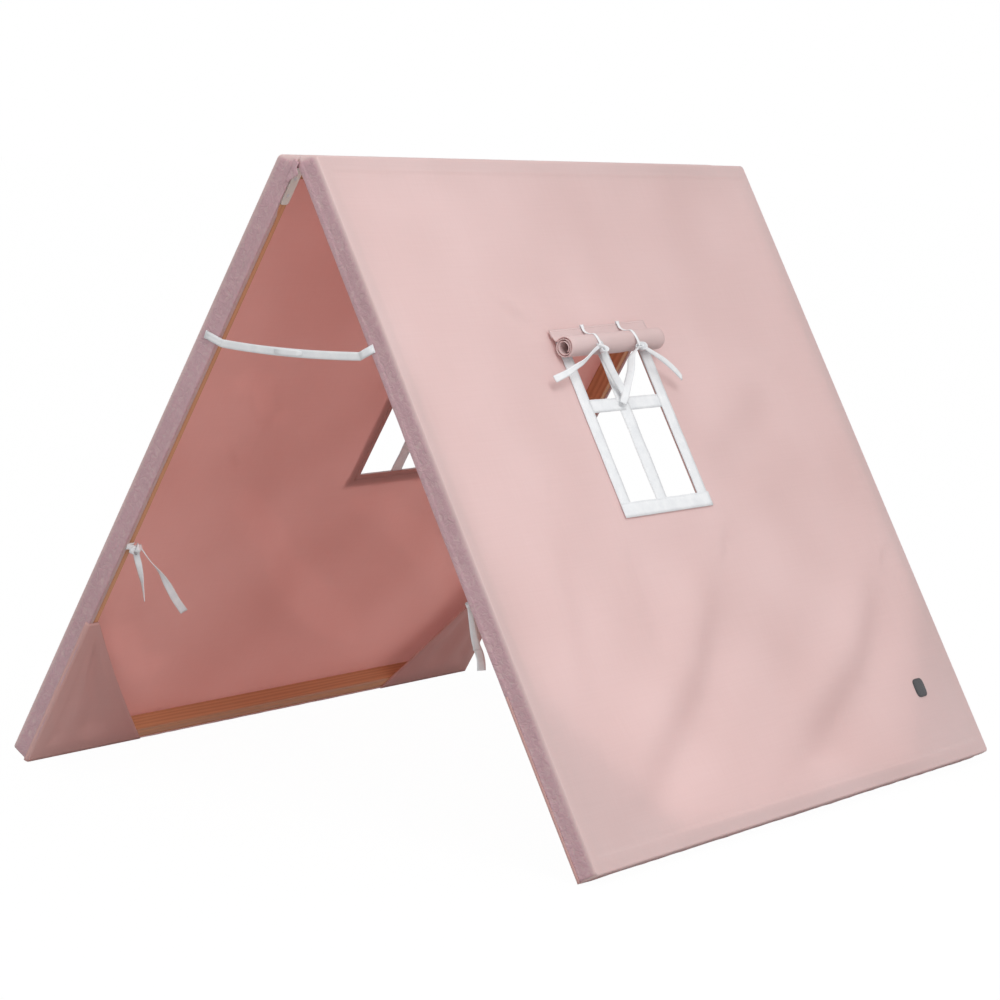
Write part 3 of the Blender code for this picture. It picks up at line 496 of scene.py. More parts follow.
def spun_thread(name, hex_colour):
    """Spun cotton sewing thread, twisted: matt, with painted shade between its strands."""
    material, tree = new_material(name)
    place = add_node(tree, "TexCoord")
    # Strands turn once in about 1 mm
    twist = add_node(tree, "TexWave", {"bands_direction": "DIAGONAL", "Scale": wave_scale(0.001)}, {
        "Vector": (place, "Object"),
    })
    base = linear(hex_colour)
    # Painted shade: the thread is darker in the grooves between its strands
    colour = add_node(tree, "Mix", {"data_type": "RGBA", MIX_FROM: shaded(base, 0.82), MIX_TO: base}, {
        0: (twist, "Fac"),
    })
    bump = add_node(tree, "Bump", {"Strength": 0.4, "Distance": 0.0001}, {"Height": (twist, "Fac")})
    shader = add_node(tree, "BsdfPrincipled", {
        "Roughness": 0.8, "IOR": 1.5, "Specular IOR Level": 0.3,
    }, {"Base Color": (colour, MIXED), "Normal": bump})
    add_node(tree, "OutputMaterial", None, {"Surface": shader})
    return material


def oiled_pine(name, turn):
    """Pine, planed and oiled: warm, with long straight grain, darker late wood and a low gloss."""
    material, tree = new_material(name)
    colours = bpy.context.scene.tent_colours
    place = add_node(tree, "TexCoord")
    turned = add_node(tree, "Mapping", {"Rotation": turn}, {"Vector": (place, "Object")})
    # Growth rings are about 5 mm apart, drawn 7 mm apart so that they can show, and waver over 400 mm
    drawn = add_node(tree, "Mapping", {"Scale": (1.0, 1.0, 0.05)}, {"Vector": turned})
    sway = add_node(tree, "TexNoise", {"Scale": 1 / 0.020, "Detail": 2.0}, {"Vector": drawn})
    bent = add_node(tree, "VectorMath", {"operation": "MULTIPLY_ADD", 1: (0.006, 0.006, 0.0)}, {
        0: (sway, "Color"), 2: drawn,
    })
    rings = add_node(tree, "TexWave", {
        "wave_type": "RINGS", "rings_direction": "Z", "wave_profile": "SIN",
        "Scale": wave_scale(0.007), "Distortion": 3.0, "Detail": 3.0, "Detail Scale": 1.2,
    }, {"Vector": bent})
    # Fibres are 0.6 mm wide and 40 mm long
    fibre_place = add_node(tree, "Mapping", {"Scale": (1 / 0.0006, 1 / 0.0006, 1 / 0.040)}, {
        "Vector": turned,
    })
    fibres = add_node(tree, "TexNoise", {"Scale": 1.0, "Detail": 2.0}, {"Vector": fibre_place})
    share = add_node(tree, "Math", {"operation": "MULTIPLY_ADD", 1: 0.35}, {0: fibres, 2: (rings, "Fac")})
    spread_share = add_node(tree, "MapRange", {"From Min": 0.10, "From Max": 1.25}, {"Value": share})
    colour = add_node(tree, "Mix", {
        "data_type": "RGBA", MIX_FROM: colours.pine, MIX_TO: colours.pine_grain,
    }, {0: spread_share})
    bump = add_node(tree, "Bump", {"Strength": 0.25, "Distance": 0.0002}, {"Height": share})
    rough = add_node(tree, "MapRange", {"To Min": 0.62, "To Max": 0.44}, {"Value": (rings, "Fac")})
    shader = add_node(tree, "BsdfPrincipled", {"IOR": 1.48, "Specular IOR Level": 0.45}, {
        "Base Color": (colour, MIXED), "Roughness": rough, "Normal": bump,
    })
    add_node(tree, "OutputMaterial", None, {"Surface": shader})
    return material


def plated_metal(name, base, low, high, grain):
    """Plated steel: a metal, with a mottled sheen from the plating and fine handling marks."""
    material, tree = new_material(name)
    place = add_node(tree, "TexCoord")
    mottle = add_node(tree, "TexNoise", {"Scale": 1 / grain, "Detail": 4.0, "Roughness": 0.65}, {
        "Vector": (place, "Object"),
    })
    colour = add_node(tree, "Mix", {
        "data_type": "RGBA", MIX_FROM: shaded(base, 0.86), MIX_TO: base,
    }, {0: mottle})
    rough = add_node(tree, "MapRange", {"To Min": low, "To Max": high}, {"Value": mottle})
    bump = add_node(tree, "Bump", {"Strength": 0.15, "Distance": 0.0001}, {"Height": mottle})
    shader = add_node(tree, "BsdfPrincipled", {"Metallic": 1.0}, {
        "Base Color": (colour, MIXED), "Roughness": rough, "Normal": bump,
    })
    add_node(tree, "OutputMaterial", None, {"Surface": shader})
    return material


def pressed_felt():
    """Wool felt, pressed: charcoal, very matt, with short tangled fibres."""
    material, tree = new_material("charcoal_wool_felt_pressed")
    felt = bpy.context.scene.tent_colours.felt
    cloth = add_node(tree, "UVMap", {"uv_map": "cloth"})
    # Fibre tangles are about 1.5 mm across
    tangle = add_node(tree, "TexNoise", {"Scale": 1 / 0.0015, "Detail": 4.0, "Distortion": 1.5}, {
        "Vector": cloth,
    })
    colour = add_node(tree, "Mix", {
        "data_type": "RGBA", MIX_FROM: felt, MIX_TO: shaded(felt, 2.2),
    }, {0: tangle})
    bump = add_node(tree, "Bump", {"Strength": 0.6, "Distance": 0.0004}, {"Height": tangle})
    shader = add_node(tree, "BsdfPrincipled", {
        "Roughness": 0.95, "IOR": 1.5, "Specular IOR Level": 0.2, "Sheen Weight": 0.3, "Sheen Roughness": 0.6,
    }, {"Base Color": (colour, MIXED), "Normal": bump})
    add_node(tree, "OutputMaterial", None, {"Surface": shader})
    return material


def finish_named(name, make):
    """The material of that name, made on its first use."""
    return bpy.data.materials.get(name) or make()


# Kinds of canvas: the end of the material's name, and the share of the light that it lets through
CANVAS_KINDS = {"canvas": ("", 0.38), "reverse": ("_reverse", 0.50), "pocket": ("_pocket", 0.25)}


def canvas(kind="canvas"):
    """The canvas as it looks from outside, or a copy of it: pinker with painted light for the inside of the
    tent, or deeper with painted shade for the pockets.
    """
    ending, through = CANVAS_KINDS[kind]
    name = "dyed_cotton_canvas_plain_woven" + ending
    colours = bpy.context.scene.tent_colours
    base, thread = (tuple(getattr(colours, part)) for part in (kind, f"{kind}_thread"))
    return finish_named(name, lambda: woven_canvas(name, base, thread, through))


def tape():
    """The white tape of the windows, ties and straps."""
    return finish_named("white_cotton_tape_twill_woven", twill_tape)


def sewing_thread(colour, hex_colour):
    """The sewing thread of that colour."""
    name = f"{colour}_cotton_thread_spun"
    return finish_named(name, lambda: spun_thread(name, hex_colour))


PINK_THREAD = ("pink", "#DDB9B6")
WHITE_THREAD = ("white", "#E6E8EA")
GREY_THREAD = ("grey", "#5A595C")


def ease(value):
    """Ease from 0 to 1."""
    value = min(max(value, 0.0), 1.0)
    return value * value * (3.0 - 2.0 * value)


def bell(value):
    """A smooth hump of height 1 at 0."""
    return math.exp(-value * value)


def steps(start, end, step):
    """Even steps from start to end, both ends kept."""
    count = max(1, round(abs(end - start) / step))
    return [start + (end - start) * index / count for index in range(count + 1)]


def stepped(start, *stops):
    """Even steps from stop to stop. Each stop is where it lies and the step that leads to it."""
    line = [start]
    for end, step in stops:
        line += steps(line[-1], end, step)[1:]
    return line


def ring_round(ys, zs):
    """Places (y, z) round the edge of a grid of lines, back to the first."""
    ring = [(y, zs[0]) for y in ys[:-1]] + [(ys[-1], z) for z in zs[:-1]]
    ring += [(y, zs[-1]) for y in ys[:0:-1]] + [(ys[0], z) for z in zs[:0:-1]]
    return [*ring, ring[0]]


def smooth_route(points, count):
    """Points on a smooth curve through the given ones."""
    points = [Vector(point) for point in points]
    ends = [2 * points[0] - points[1], *points, 2 * points[-1] - points[-2]]
    route = []
    for before, start, end, after in zip(ends, ends[1:], ends[2:], ends[3:]):
        for step in range(count):
            t = step / count
            route.append(0.5 * (
                2 * start + (end - before) * t
                + (2 * before - 5 * start + 4 * end - after) * t * t
                + (3 * start - before - 3 * end + after) * t ** 3
            ))
    return [*route, points[-1]]


# Points closer than this are one point
SAME_PLACE = 0.00001


def add_surface(bm, rows, keep=None, finish=0):
    """Quads between rows of places, each of them a point and where it lies on the flat cloth."""
    layer = bm.loops.layers.uv.get("cloth") or bm.loops.layers.uv.new("cloth")
    verts = [[bm.verts.new(point) for point, _ in row] for row in rows]
    for row in range(len(rows) - 1):
        for column in range(len(rows[0]) - 1):
            if keep and not keep(row, column):
                continue
            corners = ((row, column), (row + 1, column), (row + 1, column + 1), (row, column + 1))
            face = bm.faces.new([verts[i][j] for i, j in corners])
            face.smooth = True
            face.material_index = finish
            for loop, (i, j) in zip(face.loops, corners):
                loop[layer].uv = rows[i][j][1]


def add_object(name, data):
    """A new object in the scene."""
    thing = bpy.data.objects.new(name, data)
    bpy.context.scene.collection.objects.link(thing)
    return thing


def add_piece(name, bm, material, side=None, thickness=0.0, offset=0.0, facing=None, reverse=None):
    """Make a piece of a bmesh: close its cloth with a thickness, place it and set it on its panel."""
    bmesh.ops.delete(bm, geom=[vert for vert in bm.verts if not vert.link_faces], context="VERTS")
    bmesh.ops.remove_doubles(bm, verts=bm.verts, dist=SAME_PLACE)
    bmesh.ops.recalc_face_normals(bm, faces=bm.faces)
    if facing is not None:
        toward = sum(face.normal.dot(Vector(facing)) * face.calc_area() for face in bm.faces)
        if toward < 0:
            bmesh.ops.reverse_faces(bm, faces=bm.faces)
    mesh = bpy.data.meshes.new(name)
    bm.to_mesh(mesh)
    bm.free()
    mesh.materials.append(material)
    if reverse:
        mesh.materials.append(reverse)
    piece = add_object(name, mesh)
    if thickness:
        solidify = piece.modifiers.new("thickness", "SOLIDIFY")
        solidify.thickness = thickness
        solidify.offset = offset
        solidify.use_even_offset = False
        solidify.material_offset = 1 if reverse else 0
        depsgraph = bpy.context.evaluated_depsgraph_get()
        piece.data = bpy.data.meshes.new_from_object(piece.evaluated_get(depsgraph))
        piece.modifiers.clear()
    if side:
        piece.matrix_world = panel_matrix(side)
        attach(piece, f"{side}_panel")
    return piece


def tangents(route):
    """The way that a route runs, at each of its points."""
    last = len(route) - 1
    return [(route[min(at + 1, last)] - route[max(at - 1, 0)]).normalized() for at in range(last + 1)]


def add_ribbon(bm, route, across, widths, cup=0.0):
    """A tape along a route, raised by its cup in the middle. across is the way of its width at each point."""
    rows = []
    run = 0.0
    for index, (point, tangent) in enumerate(zip(route, tangents(route))):
        if index:
            run += (point - route[index - 1]).length
        side = (across[index] - tangent * across[index].dot(tangent)).normalized()
        rise = tangent.cross(side) * cup
        width = widths[index]
        rows.append([
            (point + side * share * width + rise * (1 - 4 * share * share), (share * width, run))
            for share in TAPE_SHARES
        ])
    add_surface(bm, rows)


def spread(values, count):
    """Values spread evenly over count points, numbers or vectors."""
    found = []
    for index in range(count):
        at = index / max(count - 1, 1) * (len(values) - 1)
        low = min(int(at), len(values) - 2)
        share = at - low
        found.append(values[low] * (1 - share) + values[low + 1] * share)
    return found


def route_tape(bm, points, across, widths, count=8, cup=0.0):
    """A tape on a smooth curve through points, with its width direction and width eased between."""
    route = smooth_route(points, count)
    across = [Vector(way) for way in across]
    add_ribbon(bm, route, spread(across, len(route)), spread(widths, len(route)), cup)


def hang_tails(bm, tails, turns, widths, cup):
    """Tails of tape on smooth curves, and their length in all."""
    for tail, across, tail_widths in zip(tails, turns, widths):
        route_tape(bm, tail, across, tail_widths, 8, cup)
    return sum(route_length(tail) for tail in tails)


def line_length(line):
    """Length of a line of points."""
    return sum((end - start).length for start, end in zip(line, line[1:]))


def route_length(points):
    """Length of a smooth curve through points."""
    return line_length(smooth_route(points, 8))


def add_stitches(bm, line, normal):
    """Stitches of thread along a line of points, lying on the cloth."""
    sizes = bpy.context.scene.tent_sizes
    normal = Vector(normal)
    spare = 0.0
    for start, end in zip(line, line[1:]):
        run = (end - start).length
        if run < SAME_PLACE:
            continue
        along = (end - start) / run
        beside = along.cross(normal).normalized() * sizes.thread_radius
        lift = normal * sizes.thread_radius
        at = spare
        while at < run:
            middle = start + along * at
            # Its two tips dip into the cloth
            tips = [middle + along * sizes.stitch_length / 2 * sign for sign in ENDS]
            first, last = (bm.verts.new(tip - lift * 0.5) for tip in tips)
            ring = [bm.verts.new(middle + shift) for shift in (beside, lift, -beside, -lift)]
            for index, vert in enumerate(ring):
                following = ring[(index + 1) % 4]
                bm.faces.new((first, vert, following))
                bm.faces.new((last, following, vert))
            at += sizes.stitch_pitch
        spare = at - run
    for face in bm.faces:
        face.smooth = True


def sew_line(name, line, normal, thread, side):
    """A line of stitches, as a piece of its own."""
    bm = bmesh.new()
    add_stitches(bm, line, normal)
    add_piece(name, bm, sewing_thread(*thread), side)


# Height of the middle of a tape over its edges: in a knot and on its hanging tails
KNOT_CUP = 0.0006
TAIL_CUP = 0.0005


def add_knot(bm, centre, size, turn, width):
    """A tied knot: one tape in a three-lobed overhand knot."""
    route, across = [], []
    for angle in steps(0.0, math.tau, math.tau / 48):
        lobe = Vector((
            math.sin(angle) + 2 * math.sin(2 * angle),
            math.cos(angle) - 2 * math.cos(2 * angle),
            -1.6 * math.sin(3 * angle),
        )) / 3
        point = turn @ Vector((lobe.x * size.x, lobe.y * size.y, lobe.z * size.z))
        route.append(centre + point)
        flat = Vector((lobe.x, lobe.y, 0)).normalized()
        across.append((turn @ (Vector((0, 0, 1)) + flat * 0.5)).normalized())
    add_ribbon(bm, route, across, [width] * len(route), KNOT_CUP)


# Part of a fold's length over which each of its ends fades, and the share of its height left there
FOLD_TAPER = 0.3
FOLD_LEAST = 0.15


def fold_lift(side, along, up):
    """How far the folds lift the sheet: a crest on the lit side, a valley on the dark side."""
    total = 0.0
    for points, half_width, height in FOLDS[side]:
        best = None
        length = 0.0
        for start, end in zip(points, points[1:]):
            run = Vector(end) - Vector(start)
            offset = Vector((along, up)) - Vector(start)
            share = min(max(offset.dot(run) / run.length_squared, 0.0), 1.0)
            away = (offset - run * share).length
            if best is None or away < best[0]:
                turn = run.x * offset.y - run.y * offset.x
                best = (away, math.copysign(1.0, turn), length + share * run.length)
            length += run.length
        away, sign, at = best
        scaled = sign * away / half_width
        fade = FOLD_TAPER * length
        taper = FOLD_LEAST + (1 - FOLD_LEAST) * ease(at / fade) * ease((length - at) / fade)
        total -= height * scaled * math.exp(0.5 - scaled * scaled / 2) * taper
    return total


def beyond(value, low, high):
    """How far a value lies outside a range."""
    return max(low - value, value - high, 0.0)


def calm_share(side, along, up):
    """How free the sheet is to fold: 0 at the window's tapes, little at the patch, 1 away from both."""
    window = WINDOWS[side]
    beside_tape, over_flap = 0.012, 0.006
    away = math.hypot(
        beyond(along, window.tape_ys[0] - beside_tape, window.tape_ys[5] + beside_tape),
        beyond(up, window.tape_zs[0] - beside_tape, window.flap_high.z + over_flap),
    )
    calm = ease(away / WINDOW_FADE)
    if side == "right":
        middle = (PATCH_LOW + PATCH_HIGH) / 2
        away = math.hypot(along - middle.y, up - middle.z) - (PATCH_HIGH.y - PATCH_LOW.y)
        calm = min(calm, PATCH_CALM + (1 - PATCH_CALM) * ease(away / WINDOW_FADE))
    return calm


def sheet_lift(side, along, up):
    """Height of a cover's sheet over its flat plane, at a place (along, up) on the panel."""
    sizes = bpy.context.scene.tent_sizes
    rail_edge = min(STILE_HIGH.z - BATTEN - up, up - STILE_LOW.z - BATTEN)
    wood_edge = min(STILE_LOW.y - abs(along), rail_edge)
    if wood_edge <= 0:
        return 0.0
    calm = calm_share(side, along, up)
    # Near the window the sheet still sinks and ripples by this share
    stirred = 0.35 + 0.65 * calm
    total = sizes.fold_share * fold_lift(side, along, up) * ease(wood_edge / EDGE_FADE) * calm
    # Part of the sag comes steeply off the rails, and the rest slowly off all the wood
    steep, slow = 0.45 * ease(rail_edge / 0.007), 0.55 * ease(wood_edge / 0.040)
    total -= sizes.sag * (steep + slow) * stirred
    # Two sizes of ripple, 150 and 35 mm apart, unlike on the two sides
    ripple_fade = 0.030
    place = Vector((along, up, 3.0 if side == "right" else 7.0))
    ripple = noise.noise(place / 0.150) * 0.0012 + noise.noise(place / 0.035) * 0.00012
    return total + ripple * ease(wood_edge / ripple_fade) * stirred


def strip_lift(side, run, depth):
    """Small drag wrinkles in the strips that turn over the frame's edges."""
    long, deep, high = 0.030, 0.022, 0.0009
    place = Vector((run / long, depth / deep, 11.0 if side == "right" else 17.0))
    return high * max(noise.noise(place) + 0.25, 0.0)


class TENT_OT_covers(bpy.types.Operator):
    """Sew the fitted canvas covers, with a window in each sheet"""
    bl_idname = "tent.covers"
    bl_label = "Covers"

    def execute(self, context):
        for side in SIDES:
            self.sew_cover(context.scene.tent_sizes, side)
        for end in ENDS:
            self.tuck_ridge(context.scene.tent_sizes, end)
        return {"FINISHED"}

    def sew_cover(self, sizes, side):
        """One cover, in one sheet with its turned strips and the hem of its window."""
        reach = COVER_END - sizes.edge_round
        top = COVER_TOP - sizes.edge_round
        foot = COVER_FOOT + sizes.edge_round
        corner = sizes.corner_round
        step = sizes.cloth_step
        window = WINDOWS[side]
        (first, low, high, last), (under, sill, lintel, over) = (
            (lines[0], lines[1], lines[4], lines[5]) for lines in (window.tape_ys, window.tape_zs)
        )
        # The mesh is finer round the corners and where the sheet leaves the rails
        rail_top, rail_foot = STILE_HIGH.z - BATTEN, STILE_LOW.z + BATTEN
        leaving, corner_step, rail_step, leaving_step = 0.008, 0.0014, 0.006, 0.002
        ys = stepped(
            -reach, (corner - reach, corner_step), (first, step), (low, step), (high, step), (last, step),
            (reach - corner, step), (reach, corner_step),
        )
        zs = stepped(
            top, (top - corner, corner_step), (rail_top, rail_step), (rail_top - leaving, leaving_step),
            (over, step), (lintel, step), (sill, step), (under, step), (rail_foot + leaving, step),
            (rail_foot, leaving_step), (foot + corner, rail_step), (foot, corner_step),
        )

        def outline(y, z):
            """Where a point goes as the corners are rounded, and the way out from the cover there."""
            a = (abs(y) - reach + corner) / corner
            upper = z > (top + foot) / 2
            b = (z - top + corner) / corner if upper else (foot + corner - z) / corner
            sign_y, sign_z = math.copysign(1, y), 1 if upper else -1
            if a > 0 and b > 0:
                a, b = a * math.sqrt(1 - b * b / 2), b * math.sqrt(1 - a * a / 2)
                out = Vector((0, sign_y * a, sign_z * b)).normalized()
                y = sign_y * (reach - corner + corner * a)
                z = sign_z * corner * b + (top - corner if upper else foot + corner)
                return y, z, out
            return y, z, Vector((0, sign_y, 0)) if a > b else Vector((0, 0, sign_z))

        bm = bmesh.new()
        rows = []
        for z in zs:
            row = []
            for y in ys:
                at_y, at_z, _ = outline(y, z)
                point = Vector((SHEET_OUT + sheet_lift(side, at_y, at_z), at_y, at_z))
                row.append((point, (at_y, at_z)))
            rows.append(row)

        def solid(row, column):
            """Whether the sheet has cloth between these lines."""
            y = (ys[column] + ys[column + 1]) / 2
            z = (zs[row] + zs[row + 1]) / 2
            return not (low < y < high and sill < z < lintel)

        add_surface(bm, rows, solid)
        self.turn_strips(bm, sizes, side, ys, zs, outline)
        self.hem_window(bm, sizes, side, ys, zs)
        # The cloth is crumpled, with painted shade, on the strips beside the stiles, and has a painted shadow
        # where the tapes are sewn on
        backed = bm.verts.layers.float.new("backed")
        crumpled = bm.verts.layers.float.new("crumpled")
        for vert in bm.verts:
            x, y, z = vert.co
            vert[crumpled] = ease((abs(y) - STILE_HIGH.y) / 0.001) * ease((WOOD_OUT - 0.001 - x) / 0.006)
            vert[backed] = float(first < y < last and under < z < over and x > WOOD_OUT - 0.004)
        # The cover's inner side takes the pinker copy of the canvas, with painted light
        cover = add_piece(
            f"{side}_cover_cloth", bm, canvas(), side, sizes.cloth_thickness, -1.0,
            (1, 0, 0), canvas("reverse"),
        )
        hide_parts(f"{side}_cover")

    def turn_strips(self, bm, sizes, side, ys, zs, outline):
        """The strips that turn over the edges of the frame."""
        places = [outline(y, z) for y, z in ring_round(ys, zs)]
        profile = [
            (SHEET_OUT - sizes.edge_round * (1 - math.cos(angle)), sizes.edge_round * math.sin(angle))
            for angle in (0, math.radians(30), math.radians(60), math.radians(90))
        ]
        # Rows lie closer at the edge of the hem, whose second layer of cloth raises the strip a little
        hem_line, hem_rise, hem_fade = WOOD_IN + 0.0085, 0.0006, 0.002
        straight = stepped(
            profile[-1][0], (hem_line + 0.001, 0.004), (hem_line - 0.001, 0.001), (WOOD_IN + 0.001, 0.003),
        )[1:]
        # The last four rows turn round the batten's inner edge, onto its inner face
        turned_rows = [
            (WOOD_IN - 0.0002, -0.0002, 0.0), (WOOD_IN - 0.0010, -0.0010, 0.0),
            (WOOD_IN - 0.0014, -0.0020, 0.4), (WOOD_IN - 0.0014, -0.0024, 1.0),
        ]
        section = [(x, out, 0.0) for x, out in profile] + [(x, sizes.edge_round, 0.0) for x in straight]
        section += [(x, sizes.edge_round + out, share) for x, out, share in turned_rows]
        least_wrap, wrinkle_fade = 0.0004, 0.010
        # At the ridge the strips reach farther in, over the ends of the hinge
        reach, reach_low, reach_fade, reach_depth = 0.0009, 0.030, 0.018, 0.0074
        rows = []
        for x, out, share in section:
            row = []
            run = 0.0
            for index, (y, z, away) in enumerate(places):
                if index:
                    run += math.dist(places[index - 1][:2], (y, z))
                depth = SHEET_OUT - x
                wrinkle = strip_lift(side, run if index < len(places) - 1 else 0.0, depth)
                lift = wrinkle * ease(depth / wrinkle_fade)
                lift += hem_rise * ease((hem_line + hem_fade / 2 - x) / hem_fade)
                if x < WOOD_IN:
                    lift *= max(0.0, 1 - (WOOD_IN - x) / 0.001)
                onto = share * (least_wrap + (sizes.wrap - least_wrap) * self.wrap_share(z, away))
                tuck = reach * ease((z + reach_low) / reach_fade) * abs(away.y)
                tuck *= ease((WOOD_IN + 0.006 - x) / reach_depth)
                point = Vector((x - tuck, y, z)) + away * (out + lift - onto)
                point.z += max(self.ridge_height(sizes, x) - COVER_TOP, 0.0) * max(away.z, 0.0)
                row.append((point, (run, depth + share * sizes.wrap)))
            rows.append(row)
        add_surface(bm, rows)

    def wrap_share(self, z, away):
        """How much of the wrap a place has: none along the rails, at the hinges and in the pockets."""
        if abs(away.y) < 0.99:
            return 0.0
        off_hinge, into_pocket, fade = 0.004, 0.030, 0.020
        return ease((LEAF_LOW.z - off_hinge - z) / fade) * ease((z - POCKET_HIGH.z + into_pocket) / fade)

    def ridge_height(self, sizes, x):
        """Height of the cover's top return: rising from its crest, then down beside the slit at the ridge."""
        rising = COVER_TOP + sizes.ridge_rise * (SHEET_OUT - x)
        slit = (x * math.cos(LEAN) - sizes.ridge_gap) / math.sin(LEAN)
        return min(rising, slit)

    def tuck_ridge(self, sizes, end):
        """The end of the left strip's hem, bunched over the gap between the covers at the ridge."""
        high, low, outer = 0.0072, -0.0300, 0.0080
        stand, crease_height, bend = 0.0029, 0.0007, 0.0026
        bm = bmesh.new()
        rows = []
        for z in steps(high, low, 0.0015):
            # Its free edge hides the pin, follows the right cover's inner face and turns back to its own hem
            along_right = 0.0034 + 2 * math.tan(LEAN) * max(-z - 0.0020, 0.0)
            turning_back = 0.60 * (z - low) - 0.0010
            under_crest = 0.0080 - 0.8 * z
            reach = max(min(along_right, turning_back, under_crest), -0.0030)
            row = []
            for share in (0.0, 0.2, 0.4, 0.6, 0.8, 1.0):
                x = outer - (outer + reach) * share
                crease = noise.noise(Vector((x * 160, z * 120, 5.0 * end))) * math.sin(math.pi * share)
                y = COVER_END + stand + crease_height * crease - bend * (1 - ease(share * 3))
                row.append((Vector((x, end * y, z)), (x, z)))
            rows.append(row)
        add_surface(bm, rows)
        # The whole tuck is crumpled, with the strips' painted shade
        crumpled = bm.verts.layers.float.new("crumpled")
        for vert in bm.verts:
            vert[crumpled] = 1.0
        tuck = add_piece(
            f"left_{end_word('left', end)}_ridge_tuck", bm, canvas(), "left",
            sizes.cloth_thickness * 0.7,
        )

    def hem_window(self, bm, sizes, side, ys, zs):
        """Turn the cloth back round the window."""
        window = WINDOWS[side]
        span_y = [y for y in ys if window.ys[0] - AIR < y < window.ys[1] + AIR]
        span_z = [z for z in zs if window.zs[0] - AIR < z < window.zs[1] + AIR]
        ring = ring_round(span_y, span_z)
        middle = (sum(window.ys) / 2, sum(window.zs) / 2)
        half = ((window.ys[1] - window.ys[0]) / 2, (window.zs[1] - window.zs[0]) / 2)
        back = sizes.cloth_thickness * 1.4
        rows = []
        for depth, out in ((0.0, 0.0), (back, 0.0), (back, sizes.hem)):
            row = []
            for y, z in ring:
                grow_y = 1 + out / half[0]
                grow_z = 1 + out / half[1]
                at_y, at_z = middle[0] + (y - middle[0]) * grow_y, middle[1] + (z - middle[1]) * grow_z
                point = Vector((SHEET_OUT + sheet_lift(side, y, z) - depth, at_y, at_z))
                row.append((point, (at_y, at_z + depth)))
            rows.append(row)
        # The turned hem takes the inner side's finish, with its painted light
        add_surface(bm, rows, finish=1)


class TENT_OT_pockets(bpy.types.Operator):
    """Sew the corner pockets that hold the feet of the frame"""
    bl_idname = "tent.pockets"
    bl_label = "Corner Pockets"

    def execute(self, context):
        for side, end in PANEL_ENDS:
            self.sew_pocket(context.scene.tent_sizes, side, end)
        return {"FINISHED"}

    def sew_pocket(self, sizes, side, end):
        """One pocket, gathered at its top and hemmed along its slanting edge."""
        top = POCKET_HIGH.z
        foot = POCKET_LOW.z
        tip = POCKET_LOW.y
        inboard = STILE_LOW.y
        rail_top = STILE_LOW.z + BATTEN
        plane = (POCKET_LOW.x + POCKET_HIGH.x) / 2
        hem = sizes.hem
        turn_round = 0.0062
        turn_x, turn_y = plane - 0.0009 + turn_round, COVER_END + 0.0016 - turn_round
        columns = 30
        bow, gathers, gather_height, hem_back = 0.006, 19, 0.0075, 0.0014

        def edge(z):
            """How far inboard the pocket reaches at this height."""
            share = (z - foot) / (top - foot)
            return tip + (inboard - tip) * share + bow * math.sin(math.pi * share)

        bm = bmesh.new()
        rows = []
        for z in steps(foot, top, 0.006):
            limit = edge(z)
            row = []
            # The outer edge comes from under the strip and turns softly round the batten's corner
            for angle in steps(-0.2, math.pi / 2, 0.25)[:-1]:
                y = turn_y + turn_round * math.cos(angle)
                point = Vector((turn_x - turn_round * math.sin(angle), end * y, z))
                row.append((point, (end * (turn_y + turn_round * (math.pi / 2 - angle)), z)))
            for index in range(columns + 1):
                y = turn_y + (limit - turn_y) * index / columns
                free = min(z - rail_top, inboard - y)
                # Gathers fan out from the corner between the batten and the pocket's top
                slope = math.atan2(inboard + 0.010 - y, top + 0.02 - z)
                waver = 1.2 * noise.noise(Vector((y * 9, z * 9, end)))
                gather = 0.5 + 0.5 * math.sin(slope * gathers + waver)
                near = ease((y - limit - 0.004) / 0.030)
                x = turn_x - turn_round + gather_height * gather * ease(free / 0.040) * near
                row.append((Vector((x, end * y, z)), (end * y, z)))
            for away in (0.0, hem):
                point = Vector((plane + hem_back, end * (limit + away), z))
                row.append((point, (end * (limit - away - 0.001), z)))
            rows.append(row)
        add_surface(bm, rows)
        word = end_word(side, end)
        # The pocket takes the deeper copy of the canvas, with painted shade
        pocket = add_piece(
            f"{side}_{word}_pocket_cloth", bm, canvas("pocket"), side,
            sizes.cloth_thickness * 0.8,
        )
        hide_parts(f"{side}_{word}_pocket")
        x = plane - sizes.cloth_thickness * 0.45
        line = [Vector((x, end * (edge(z) + hem * 0.8), z)) for z in steps(foot, top, 0.010)]
        sew_line(f"{side}_{word}_pocket_stitches", line, (-1, 0, 0), PINK_THREAD, side)


